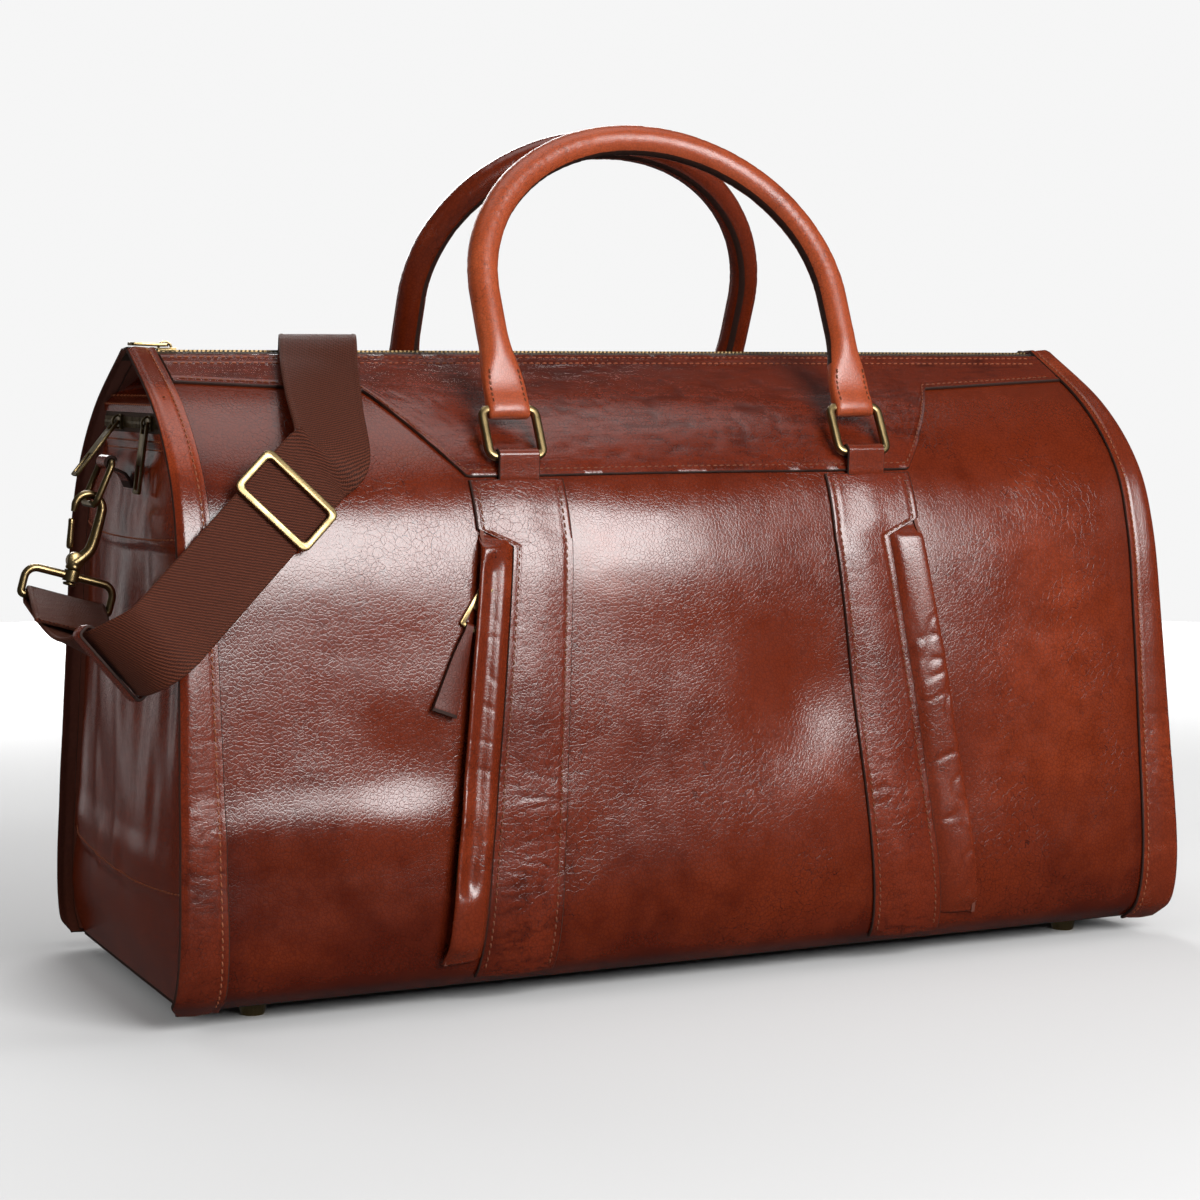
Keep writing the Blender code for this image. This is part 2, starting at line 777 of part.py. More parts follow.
# The shoulder strap's fittings at the left end. The right end is the same, turned half round.

D_BAR = 0.0017
D_TOP = Vector((-0.2735, -0.0100, 0.2555))
D_DROP = Vector((-math.sin(math.radians(24)), 0, -math.cos(math.radians(24))))
D_LENGTH, D_WIDTH = 0.0215, 0.0235
TAB_WIDTH = 0.0160
SWIVEL = Vector((-0.2920, -0.0120, 0.2020))
HOOK_UP = (D_TOP + D_DROP * D_LENGTH - SWIVEL).normalized()
LOOP_ALONG = Vector((0.958, -0.050, -0.282))
LOOP_ALONG = (LOOP_ALONG - HOOK_UP * LOOP_ALONG.dot(HOOK_UP)).normalized()
HOOK_FLAT = Vector((0, 1, 0))  # square to the hook's own plane
HOOK_FLAT = (HOOK_FLAT - HOOK_UP * HOOK_FLAT.dot(HOOK_UP)).normalized()
HOOK_OUT = HOOK_UP.cross(HOOK_FLAT)  # towards the gate, away from the bag
SWIVEL_WIRE = 0.0019
SWIVEL_WIDTH, SWIVEL_DROP = 0.0426, 0.0135
HOOK_WIRE = 0.0020
GATE_FOOT = (0.0041, 0.0122)
GATE_TIP = (0.0066, 0.0266)
TURNS = {"left": Matrix(), "right": Matrix.Rotation(math.pi, 4, "Z")}


def hook_point(out, up):
    return SWIVEL + HOOK_OUT * out + HOOK_UP * up


def turned(made, end):
    made.matrix_world = TURNS[end] @ made.matrix_world
    return made


def make_ring_tab(end):
    radius = D_BAR + GAP + OVERLAY / 2
    path = [(-0.2643, 0.2430), (-0.2664, 0.2495)]
    path += [(D_TOP.x - a, D_TOP.z + b) for a, b in arc((0, 0), radius, -65, 160, 12)]
    half = TAB_WIDTH / 2
    rows = [[(x, D_TOP.y + w, z) for w in (-half, half)] for x, z in path]
    turned(sheet(f"{end}_ring_tab", rows, OVERLAY, "trim leather"), end)


def make_d_ring(end):
    middle = D_TOP + D_DROP * D_LENGTH / 2
    outline = rounded_rectangle(D_WIDTH, D_LENGTH, 0.0030)
    points = [middle + Vector((0, a, 0)) - D_DROP * b for a, b in outline]
    turned(wire(f"{end}_d_ring", points, D_BAR, "brass", closed=True), end)


def make_hook(end):
    """The bow, its base drum, and the stem that turns in the swivel loop."""
    name = f"{end}_hook"
    bend = 0.0066
    line = [(0.0000, 0.0075), (-0.0042, 0.0110), (-0.0062, 0.0180), (-bend, 0.0260)]
    line += [(-x, y) for x, y in arc((0, 0.0331), bend, 0, 180, 10)]
    line += [(bend, 0.0292)]
    bow = [hook_point(out, up) for out, up in line]
    made = as_mesh(wire(name, bow, HOOK_WIRE, "brass"))
    flat = axes(HOOK_OUT, HOOK_UP, HOOK_OUT.cross(HOOK_UP))
    upright = axes(HOOK_OUT, HOOK_UP.cross(HOOK_OUT), HOOK_UP)
    join(made, drum(name + "_base", 0.0040, 0.0046, hook_point(0, 0.0075), flat, "brass"))
    join(made, drum(name + "_stem", 0.0017, 0.0115, hook_point(0, 0.0015), upright, "brass", 12))
    join(made, drum(name + "_head", 0.0030, 0.0012, hook_point(0, -0.0036), upright, "brass"))
    turned(made, end)
    for helper in ("_base", "_stem", "_head"):
        turned(bpy.data.objects[name + helper], end)


def make_gate(end):
    line = [hook_point(*GATE_FOOT), hook_point(*GATE_TIP)]
    seat = pivot(f"{end}_gate_pin", hook_point(*GATE_FOOT))
    turned(seat, end)
    gate = wire(f"{end}_gate", line, 0.0016, "brass")
    hang(turned(gate, end), seat)


def make_swivel_loop(end):
    name = f"{end}_swivel_loop"
    middle = SWIVEL - HOOK_UP * SWIVEL_DROP / 2
    half, top = SWIVEL_WIDTH / 2, SWIVEL_DROP / 2
    outline = arc((half - 0.0050, top - 0.0050), 0.0050, 0, 90, 4)
    outline += arc((-half + 0.0050, top - 0.0050), 0.0050, 90, 180, 4)
    outline += arc((-half + 0.0014, -top + 0.0014), 0.0014, 180, 270, 2)
    outline += arc((half - 0.0014, -top + 0.0014), 0.0014, 270, 360, 2)
    points = [middle + LOOP_ALONG * a + HOOK_UP * b for a, b in outline]
    made = as_mesh(wire(name, points, SWIVEL_WIRE, "brass", closed=True))
    upright = axes(LOOP_ALONG, HOOK_UP.cross(LOOP_ALONG), HOOK_UP)
    collar = drum(name + "_collar", 0.0038, 0.0046, SWIVEL, upright, "brass")
    hole = drum(name + "_hole", 0.0021, 0.0100, SWIVEL, upright, "brass")
    join(made, turned(collar, end))
    cut(made, turned(hole, end))
    turned(made, end)


# The shoulder strap. Each stop is a place on its middle line and the way its outer face looks.

STRAP_FOLD = SWIVEL - HOOK_UP * SWIVEL_DROP
FOLD_RADIUS = SWIVEL_WIRE + 0.0004 + WEBBING / 2
FLAP = 0.040  # the end that is folded back round the swivel loop and sewn down
LEAVING = Vector((-0.03, -0.95, -0.31))
LEAVING = (LEAVING - LOOP_ALONG * LEAVING.dot(LOOP_ALONG)).normalized()
UNDER = LOOP_ALONG.cross(LEAVING)
STRAIGHT = (at(-0.2660, 0.1900, 0.0105), at(-0.1985, 0.2490, 0.0082))
SLIDE_AT = 0.77  # the strap slide's place along the straight stretch
BACK_OUT = 0.1250


def strap_stops():
    """Stops from the left swivel loop to the right one."""
    left = [
        ((-0.2968, -0.0450, 0.1762), (-0.33, 0.10, -0.94)),
        ((-0.2968, -0.0720, 0.1700), (-0.45, -0.20, -0.87)),
        ((-0.2950, -0.0960, 0.1690), (-0.62, -0.55, -0.56)),
        ((-0.2890, -0.1120, 0.1735), (-0.55, -0.80, -0.22)),
        ((-0.2790, -0.1190, 0.1805), (-0.25, -0.96, 0.10)),
    ]
    facing = outward(0.2200)
    left += [(STRAIGHT[0].lerp(STRAIGHT[1], t), facing) for t in (0.0, 0.35, 0.7, 1.0, 1.15)]
    over = [
        (at(-0.1820, 0.2800, 0.0065), outward(0.2800)),
        (at(-0.1750, 0.2960, 0.0070), (0, -0.35, 0.94)),
        ((-0.1650, 0.0000, 0.3158), (0, 0, 1)),
        (at(-0.1560, 0.2960, 0.0070, 1), (0, 0.35, 0.94)),
        (at(-0.1500, 0.2780, 0.0065, 1), outward(0.2780, 1)),
        (at(-0.1460, 0.2560, 0.0065, 1), outward(0.2560, 1)),
        (at(-0.1430, 0.2250, 0.0080, 1), outward(0.2250, 1)),
    ]
    behind = [
        ((-0.1370, 0.1180, 0.1850), (0, 1, 0)),
        ((-0.1230, 0.1240, 0.1450), (0, 1, 0)),
        ((-0.0950, BACK_OUT, 0.1080), (0, 1, 0)),
        ((-0.0500, BACK_OUT, 0.0820), (0, 1, 0)),
        ((0.0050, BACK_OUT, 0.0730), (0, 1, 0)),
        ((0.0650, BACK_OUT, 0.0780), (0, 1, 0)),
        ((0.1250, BACK_OUT, 0.0940), (0, 1, 0)),
        ((0.1850, BACK_OUT, 0.1180), (0.05, 1, -0.05)),
        ((0.2350, BACK_OUT, 0.1380), (0.10, 0.99, -0.05)),
        ((0.2640, 0.1225, 0.1500), (0.30, 0.94, -0.15)),
        ((0.2850, 0.1110, 0.1600), (0.62, 0.70, -0.35)),
        ((0.2940, 0.0900, 0.1660), (0.62, 0.40, -0.65)),
        ((0.2960, 0.0680, 0.1712), (0.45, 0.05, -0.88)),
        ((0.2968, 0.0450, 0.1762), (0.33, -0.10, -0.94)),
    ]
    return left + over + behind


def fold(end):
    """The turn round a swivel loop, from the flap's end to the stretch that leaves it."""
    stops = []
    for t in (1.0, 0.7, 0.4):
        stops.append((STRAP_FOLD + LEAVING * FLAP * t - UNDER * 0.0031, -UNDER))
    for a, b in arc((0, 0), FOLD_RADIUS, 100, 260, 8):
        out = LEAVING * a - UNDER * b
        stops.append((STRAP_FOLD + out, out))
    if end == "left":
        return stops
    half = TURNS["right"]
    return [(half @ Vector(p), half @ Vector(n)) for p, n in reversed(stops)]


def strap_line():
    """Points, facings and their directions down the whole strap."""
    start, finish = fold("left"), fold("right")
    middle = [start[-1], *strap_stops(), finish[0]]
    places = through([tuple(p) for p, _ in middle], 2)
    facings = through([tuple(Vector(n).normalized()) for _, n in middle], 2)
    line = start[:-1] + [(Vector(p), Vector(n)) for p, n in zip(places, facings)] + finish[1:]
    found = []
    for k, (p, n) in enumerate(line):
        before, after = line[max(k - 1, 0)][0], line[min(k + 1, len(line) - 1)][0]
        along = (Vector(after) - Vector(before)).normalized()
        across = along.cross(Vector(n)).normalized()
        found.append((Vector(p), across, along))
    return found


def make_strap():
    half = WEBBING_WIDTH / 2
    rows = [[p - across * half, p, p + across * half] for p, across, _ in strap_line()]
    thicken(link("shoulder_strap", grid_mesh("shoulder_strap", rows), "webbing"), WEBBING)


def make_strap_slide():
    """A flat frame over the webbing, with its bar behind it."""
    along = (STRAIGHT[1] - STRAIGHT[0]).normalized()
    across = along.cross(outward(0.2200)).normalized()
    out = across.cross(along)
    turn = axes(across, along, out)
    middle = STRAIGHT[0].lerp(STRAIGHT[1], SLIDE_AT)
    seat = pivot("strap_slide_seat", middle)

    def piece(name, size, place, bevel=0.0):
        return block(name, size, middle + turn.to_3x3() @ Vector(place), "brass", turn, bevel)

    lift = WEBBING / 2 + GAP + 0.0013
    made = piece("strap_slide", (0.0440, 0.0255, 0.0026), (0, 0, lift), 0.0009)
    cut(made, piece("strap_slide_window", (0.0378, 0.0195, 0.0100), (0, 0, lift)))
    low = WEBBING / 2 + GAP + 0.0011
    join(made, piece("strap_slide_bar", (0.0430, 0.0026, 0.0022), (0, 0, -low)))
    for way in (-1, 1):
        post = (0.0018, 0.0026, low + lift)
        place = (way * 0.0206, 0, (lift - low) / 2)
        join(made, piece(f"strap_slide_post_{way}", post, place))
    hang(made, seat)


KEEPER_GOALS = (("left", Vector((-0.2950, -0.0960, 0.169))), ("right", Vector((0.2960, 0.0840, 0.169))))


def make_keepers():
    """Leather bands round the strap where it turns towards the hooks."""
    line = strap_line()
    for end, goal in KEEPER_GOALS:
        p, across, along = min(line, key=lambda stop: (stop[0] - goal).length)
        turn = axes(across, along, across.cross(along))
        made = block(f"{end}_keeper", (0.0436, 0.0080, 0.0080), p, "trim leather", turn, 0.0006)
        hole = block(f"{end}_keeper_hole", (0.0396, 0.0300, 0.0056), p, "brass", turn)
        cut(made, hole)


def make_strap_fittings():
    for end in ("left", "right"):
        make_ring_tab(end)
        make_d_ring(end)
        make_hook(end)
        make_gate(end)
        make_swivel_loop(end)
    make_strap()
    make_strap_slide()
    make_keepers()


def build():
    make_panels()
    make_yokes()
    make_trims()
    make_patches()
    make_plackets()
    make_base()
    make_gussets()
    make_lining()
    main_zip()
    end_zip()
    pocket_zip()
    make_handles()
    make_strap_fittings()


for old in list(bpy.data.objects):
    bpy.data.objects.remove(old)
bag = collection("weekender bag")
cutters = collection("cutters", hidden=True)
build()
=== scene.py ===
"""The weekender bag's looks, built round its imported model.

Metres; +Z up, X along the zip, -Y the front. The bag's pattern pieces are laid on one skin, which
has its sags and puffs, so that what is sewn on follows what is under it.
"""

import math
from itertools import product

import bmesh
import bpy
import numpy as np
from mathutils import Matrix, Vector


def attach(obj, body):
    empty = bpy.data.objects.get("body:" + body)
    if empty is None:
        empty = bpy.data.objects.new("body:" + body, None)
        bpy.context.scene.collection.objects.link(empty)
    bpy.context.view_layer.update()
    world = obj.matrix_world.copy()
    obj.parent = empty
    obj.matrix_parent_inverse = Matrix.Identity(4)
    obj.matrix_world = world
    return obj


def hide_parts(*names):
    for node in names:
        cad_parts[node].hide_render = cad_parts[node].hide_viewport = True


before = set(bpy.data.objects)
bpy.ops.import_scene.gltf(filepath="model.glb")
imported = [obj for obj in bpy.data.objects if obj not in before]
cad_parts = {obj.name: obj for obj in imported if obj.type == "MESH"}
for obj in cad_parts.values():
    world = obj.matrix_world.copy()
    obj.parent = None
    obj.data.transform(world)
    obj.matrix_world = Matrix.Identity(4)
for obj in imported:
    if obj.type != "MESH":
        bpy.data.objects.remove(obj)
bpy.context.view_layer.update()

RIDGE_HEIGHT = 0.310
HALF_TOP, HALF_BASE = 0.262, 0.273  # half the bag's length, at the ridge and at the base
LEATHER, OVERLAY, GAP = 0.0016, 0.0014, 0.0003
SEAT = GAP + OVERLAY  # the outer face of a sewn-on piece, above the panel's
SEWN = SEAT - 0.0002  # where its thread lies
SEAM_INSET, SEAM_WIDTH = 0.0034, 0.0016
TRIM_INNER, FLANGE = 0.2485, 0.008
SECTION = [  # distance from the bag's middle plane, and height, from the ridge to the base
    (0.003, 0.3095),
    (0.054, 0.2810),
    (0.085, 0.2500),
    (0.099, 0.2150),
    (0.1055, 0.1650),
    (0.1115, 0.1050),
    (0.1165, 0.0500),
    (0.1120, 0.0205),
    (0.0985, 0.0085),
]
ENDS = (("left", -1), ("right", 1))
FACES = (("front", -1), ("back", 1))
CORNERS = [(face, side, end, way) for face, side in FACES for end, way in ENDS]


# Curves and smooth seeded noise.


def through(points, steps):
    """A Catmull-Rom curve through points."""
    p = [np.array(q, float) for q in points]
    p = [2 * p[0] - p[1], *p, 2 * p[-1] - p[-2]]
    made = []
    for a, b, c, d in zip(p, p[1:], p[2:], p[3:]):
        for t in np.arange(steps) / steps:
            square = (2 * a - 5 * b + 4 * c - d) * t**2
            made.append(0.5 * (2 * b + (c - a) * t + square + (3 * b - a - 3 * c + d) * t**3))
    return np.array([*made, p[-2]])


def smooth(value):
    value = np.clip(value, 0.0, 1.0)
    return value * value * (3 - 2 * value)


def bump(value, middle, width):
    """1 at the middle, falling smoothly to 0 at its width to either side."""
    return smooth(1 - np.abs(value - middle) / width)


def field(u, v, seed):
    """Smooth seeded noise of two coordinates, from -1 to 1."""
    u, v = np.broadcast_arrays(np.asarray(u, float), np.asarray(v, float))
    table = np.random.default_rng(seed).uniform(-1, 1, (64, 64))
    i, j = np.floor(u).astype(int), np.floor(v).astype(int)
    a, b = smooth(u - i), smooth(v - j)

    def corner(p, q):
        return table[(i + p) % 64, (j + q) % 64]

    low = corner(0, 0) * (1 - a) + corner(1, 0) * a
    return low * (1 - b) + (corner(0, 1) * (1 - a) + corner(1, 1) * a) * b


def arc(middle, radius, start, end, steps):
    """Points on a circle, by angles in degrees."""
    return [
        (middle[0] + radius * math.cos(a), middle[1] + radius * math.sin(a))
        for a in np.radians(np.linspace(start, end, steps + 1))
    ]


def rounded(width, height, radius, steps=4):
    """A rectangle's outline with round corners."""
    a, b = width / 2 - radius, height / 2 - radius
    corners = (((a, b), 0), ((-a, b), 90), ((-a, -b), 180), ((a, -b), 270))
    return [p for c, turn in corners for p in arc(c, radius, turn, turn + 90, steps)]


def unit(vectors):
    """Vectors of length 1, along the last axis."""
    vectors = np.asarray(vectors, float)
    return vectors / np.maximum(np.linalg.norm(vectors, axis=-1, keepdims=True), 1e-12)


def travel(points):
    """How far along a line each of its points is."""
    return np.concatenate([[0], np.cumsum(np.linalg.norm(np.diff(points, axis=0), axis=1))])


# The bag's outer skin.

STATIONS = through(SECTION, 12)
RUN = travel(STATIONS)
FACET = unit(np.stack([-np.diff(STATIONS[:, 1]), np.diff(STATIONS[:, 0])], axis=1))
NORMALS = unit(np.vstack([FACET[:1], FACET]) + np.vstack([FACET, FACET[-1:]]))


def down(height):
    """Distance down the skin at which it has this height."""
    return np.interp(-np.asarray(height, float), -STATIONS[:, 1], RUN)


def level(run):
    return np.interp(run, RUN, STATIONS[:, 1])


def half_length(height):
    return HALF_TOP + (HALF_BASE - HALF_TOP) * (1 - np.asarray(height) / RIDGE_HEIGHT)


PATCH_INNER, PATCH_OUTER = (0.072, 0.087), (0.103, 0.127)
PATCH_HEAD, PATCH_TOP, PATCH_FOOT = 0.1205, 0.2465, 0.0150
HEAD_FOOT, STEP_FOOT = 0.2240, 0.2160
PLACKET_OUTER, PLACKET_FOOT = (0.1210, 0.1475), 0.0240
GROOVE, POCKET_EDGE = 0.0030, 0.0068
DENTS = (  # depth, then the place and half size along x, and the same for the height
    (0.0034, (0.048, 0.046), (0.138, 0.048)),
    (0.0030, (-0.205, 0.060), (0.052, 0.046)),
    (0.0018, (-0.160, 0.040), (0.120, 0.034)),
    (0.0016, (0.196, 0.040), (0.070, 0.036)),
)


def splay(ends, height):
    """The edges of the patches splay as they go down."""
    return ends[0] + (ends[1] - ends[0]) * (STEP_FOOT - height) / (STEP_FOOT - PATCH_FOOT)


def relief(x, run, side):
    """How far the leather stands out of or sinks into the plain skin."""
    z = level(run)
    body = smooth((z - 0.012) / 0.045) * smooth((0.262 - z) / 0.045)
    inner, outer = splay(PATCH_INNER, z), splay(PATCH_OUTER, z)
    middle = 1 - (np.abs(x) / inner) ** 2
    bay = 1 - (2 * (np.abs(x) - (outer + TRIM_INNER) / 2) / (TRIM_INNER - outer)) ** 2
    puff = 0.0018 * np.clip(middle, 0, 1) + 0.0022 * np.clip(bay, 0, 1)
    sag = 0.0013 * field(x / 0.085 + 7.3, run / 0.070, 11 + side)
    sag = sag + 0.00022 * field(x / 0.027 + 1.7, run / 0.034 + 0.4, 23 + side)
    fine = 0.00003 * field(x / 0.009, run / 0.0075, 31 + side)
    dent = sum(depth * bump(x, *wide) * bump(z, *high) for depth, wide, high in DENTS)
    dent = dent - 0.0009 * bump(z - 0.01 * (x + 0.10), 0.092, 0.022) * smooth((-0.06 - x) / 0.03)
    groove = 0.0 if side > 0 else GROOVE * pocket_groove(x, z)
    return (puff + sag - dent) * body + fine * (0.35 + body) - groove


def pocket_groove(x, z):
    """The front pocket's zip lies in a furrow under the left placket's free edge."""
    line = -(splay(PLACKET_OUTER, z) - POCKET_EDGE)
    return bump(x, line, 0.0075) * smooth((z - 0.052) / 0.01) * smooth((0.214 - z) / 0.01)


def section_at(run):
    """The plain skin's distance out and height, and its normal, this far down it."""
    columns = (STATIONS[:, 0], STATIONS[:, 1], NORMALS[:, 0], NORMALS[:, 1])
    return [np.interp(run, RUN, column) for column in columns]


def skin(x, run, side, out=0.0):
    """Points and normals on the skin, with its relief."""
    x, run = np.broadcast_arrays(np.asarray(x, float), np.asarray(run, float))
    y, z, ny, nz = section_at(run)
    off = out + relief(x, run, side)
    points = np.stack([x, side * (y + ny * off), z + nz * off], axis=-1)
    return points, unit(np.stack([0 * x, side * ny, nz], axis=-1))


def plain(x, height, out=0.0, side=-1):
    """A point on the skin without its relief, by its height."""
    y, z, ny, nz = section_at(down(height))
    return Vector((x, side * (y + ny * out), z + nz * out))


def outward(height, side=-1):
    return (plain(0, height, 0.001, side) - plain(0, height, 0, side)).normalized()


# Materials.

MATERIALS = {}
WORN = ((0.046, 0.0050, 0.0013), (0.092, 0.0112, 0.0030), (0.145, 0.0200, 0.0055))
LEATHERS = {
    # name: (darker, middle, lighter, roughness, grain's size, grain's depth, streaks, gloss)
    "panel": ((0.044, 0.0042, 0.0009), (0.088, 0.0106, 0.0022), (0.150, 0.0205, 0.0045), 0.22, 1.0, 1.0),
    "yoke": (*WORN, 0.24, 1.0, 0.9, 0.5),
    "patch": (*WORN, 0.24, 1.0, 1.1),
    "trim": ((0.046, 0.0048, 0.0010), (0.096, 0.0118, 0.0026), (0.180, 0.0260, 0.0060), 0.26, 1.0, 0.9),
    # The front handle's leather is a lighter copy of the trim leather: painted light; the back handle keeps
    # the trim leather.
    "handle": ((0.110, 0.0150, 0.0036), (0.235, 0.0400, 0.0105), (0.360, 0.0760, 0.0230), 0.36, 0.8, 1.0),
    "puller": (
        (0.036, 0.0040, 0.0010), (0.064, 0.0080, 0.0020), (0.110, 0.0160, 0.0040),
        0.42, 1.0, 1.2, 0.0, 0.16,
    ),
}
PLAIN_FINISHES = {
    # name: (darker, lighter, roughness, grain's scale, grain's depth, gloss)
    "edge": ((0.010, 0.0050, 0.0040), (0.030, 0.012, 0.008), 0.60, 700.0, 0.00008, 0.15),
    "thread": ((0.100, 0.026, 0.010), (0.210, 0.062, 0.026), 0.6, 2400.0, 0.00008, 0.2),
    "dark_thread": ((0.062, 0.016, 0.0065), (0.135, 0.040, 0.017), 0.6, 2400.0, 0.00008, 0.2),
    "inside": ((0.060, 0.012, 0.006), (0.120, 0.030, 0.014), 0.8, 500.0, 0.00010, 0.5),
    "lining": ((0.030, 0.018, 0.011), (0.080, 0.050, 0.032), 0.9, 1500.0, 0.00010, 0.5),
    # The base panel's near-black is painted shade under the bag.
    "base_painted_shade": ((0.006, 0.005, 0.0045), (0.020, 0.016, 0.014), 0.5, 600.0, 0.00015, 0.5),
    "board": ((0.16, 0.11, 0.06), (0.25, 0.19, 0.12), 0.9, 300.0, 0.00010, 0.5),
}


def node_tree(name, colour, roughness, metallic=0.0):
    made = bpy.data.materials.new(name)
    made.use_nodes = True
    made.diffuse_color = (*colour, 1)
    shader = made.node_tree.nodes["Principled BSDF"]
    shader.inputs["Base Color"].default_value = (*colour, 1)
    shader.inputs["Roughness"].default_value = roughness
    shader.inputs["Metallic"].default_value = metallic
    MATERIALS[name] = made
    return made.node_tree, shader


class Nodes:
    """Short calls for making a material's nodes."""

    def __init__(self, tree):
        self.tree = tree
        self.place = self.add("ShaderNodeTexCoord").outputs["Object"]

    def add(self, kind, **settings):
        made = self.tree.nodes.new(kind)
        for key, value in settings.items():
            setattr(made, key, value)
        return made

    def link(self, source, target):
        if isinstance(source, bpy.types.NodeSocket):
            self.tree.links.new(source, target)
        else:
            target.default_value = source
        return target

    def noise(self, scale, detail=3.0, rough=0.55, at=None):
        made = self.add("ShaderNodeTexNoise")
        self.link(at or self.place, made.inputs["Vector"])
        for key, value in (("Scale", scale), ("Detail", detail), ("Roughness", rough)):
            made.inputs[key].default_value = value
        return made.outputs["Fac"]

    def cells(self, scale, at):
        """Distance to the edges of uneven cells."""
        made = self.add("ShaderNodeTexVoronoi", feature="DISTANCE_TO_EDGE")
        self.link(at, made.inputs["Vector"])
        made.inputs["Scale"].default_value = scale
        return made.outputs["Distance"]

    def math(self, how, a, b=0.0, clamp=False):
        made = self.add("ShaderNodeMath", operation=how, use_clamp=clamp)
        self.link(a, made.inputs[0])
        self.link(b, made.inputs[1])
        return made.outputs[0]

    def plus(self, value, *others, clamp=False):
        for other in others:
            value = self.math("ADD", value, other, clamp)
        return value

    def times(self, value, *others):
        for other in others:
            value = self.math("MULTIPLY", value, other)
        return value

    def span(self, value, low, high):
        """0 below low and 1 above high, with a smooth step between them."""
        made = self.add("ShaderNodeMapRange", interpolation_type="SMOOTHSTEP")
        for key, given in enumerate((value, low, high, 0.0, 1.0)):
            self.link(given, made.inputs[key])
        return made.outputs[0]

    def mix(self, share, a, b):
        made = self.add("ShaderNodeMix", data_type="RGBA")
        colours = [s for s in made.inputs if s.type == "RGBA"]
        self.link(share, made.inputs[0])
        for given, socket in zip((a, b), colours):
            self.link(given if isinstance(given, bpy.types.NodeSocket) else (*given, 1), socket)
        return next(s for s in made.outputs if s.type == "RGBA")

    def stretched(self, scale):
        made = self.add("ShaderNodeMapping")
        self.link(self.place, made.inputs["Vector"])
        made.inputs["Scale"].default_value = scale
        return made.outputs[0]

    def warped(self, scale, amount):
        """Object coordinates pushed about by noise, so that cells aren't regular."""
        push = self.add("ShaderNodeTexNoise")
        self.link(self.place, push.inputs["Vector"])
        push.inputs["Scale"].default_value = scale
        made = self.add("ShaderNodeVectorMath", operation="MULTIPLY_ADD")
        self.link(push.outputs["Color"], made.inputs[0])
        made.inputs[1].default_value = (amount,) * 3
        self.link(self.place, made.inputs[2])
        return made.outputs[0]

    def attribute(self, name):
        return self.add("ShaderNodeAttribute", attribute_name=name).outputs["Fac"]

    def bumps(self, shader, *heights):
        """Bump nodes in a chain: each height is (value, depth in metres)."""
        normal = None
        for value, depth in heights:
            made = self.add("ShaderNodeBump")
            made.inputs["Strength"].default_value = 1.0
            made.inputs["Distance"].default_value = depth
            self.link(value, made.inputs["Height"])
            if normal:
                self.link(normal, made.inputs["Normal"])
            normal = made.outputs[0]
        self.link(normal, shader.inputs["Normal"])


def leather(name, dark, mid, light, roughness, size, depth, streaks=0.0, gloss=0.5):
    """Mottled, pebbled and finely cracked; streaks are the creases of leather drawn along X, darkened with
    painted shade.
    """
    tree, shader = node_tree(name, mid, roughness)
    n = Nodes(tree)
    mottled = n.noise(70.0, 4.0, 0.6)
    # The tone attribute brings each piece's painted shade and light, as well as its tone and wear, into the
    # colour.
    tone = n.plus(n.noise(9.0, 3.0), n.times(mottled, 0.50), -0.75, n.attribute("tone"))
    colour = n.mix(n.span(tone, -0.45, 0.0), dark, mid)
    colour = n.mix(n.span(tone, 0.02, 0.50), colour, light)
    pebble = n.span(n.cells(530.0 / size, n.warped(200.0, 0.0024)), 0.0, 0.17)
    pores = n.noise(2600.0 / size, 2.0)
    crack = n.span(n.cells(230.0, n.warped(60.0, 0.012)), 0.0, 0.035)
    zone = n.span(n.noise(16.0, 2.0), 0.44, 0.60)
    lines = n.times(n.math("SUBTRACT", 1.0, crack), zone)
    drawn = n.span(n.noise(1.0, 4.0, 0.7, n.stretched((60, 760, 760))), 0.50, 0.60)
    # Pebble grooves and crack lines are the grain's own dark lines; the drawn streaks' darkening is painted
    # shade in the creases.
    deep = n.plus(n.times(n.math("SUBTRACT", 1.0, pebble), 0.36), n.times(drawn, 0.40 * streaks))
    deep = n.plus(deep, n.times(lines, 0.55), clamp=True)
    n.link(n.mix(deep, colour, tuple(0.45 * c for c in dark)), shader.inputs["Base Color"])
    rough = n.plus(n.times(mottled, 0.16), roughness - 0.10, n.times(deep, 0.04))
    n.link(rough, shader.inputs["Roughness"])
    shader.inputs["Specular IOR Level"].default_value = gloss
    n.bumps(
        shader,
        (n.noise(330.0, 3.0), 0.000022 * depth),
        (pebble, 0.000024 * depth),
        (pores, 0.000006 * depth),
        (n.times(lines, -1.0), 0.000025 * depth),
        (n.times(drawn, -streaks), 0.00003),
    )


def metal(name, colour, roughness, wear=0.5):
    """Brushed, with darker and rougher stains."""
    tree, shader = node_tree(name, colour, roughness, 1.0)
    n = Nodes(tree)
    stain = n.span(n.noise(160.0, 4.0, 0.65), 0.42, 0.70)
    worn = n.mix(n.times(stain, wear), colour, tuple(0.42 * c for c in colour))
    n.link(worn, shader.inputs["Base Color"])
    brushed = n.noise(6.0, 3.0, 0.6, n.stretched((40, 40, 900)))
    rough = n.plus(n.times(brushed, 0.18), roughness - 0.07, n.times(stain, 0.12))
    n.link(rough, shader.inputs["Roughness"])
    n.bumps(shader, (brushed, 0.000005), (n.noise(500.0, 2.0), 0.000004))


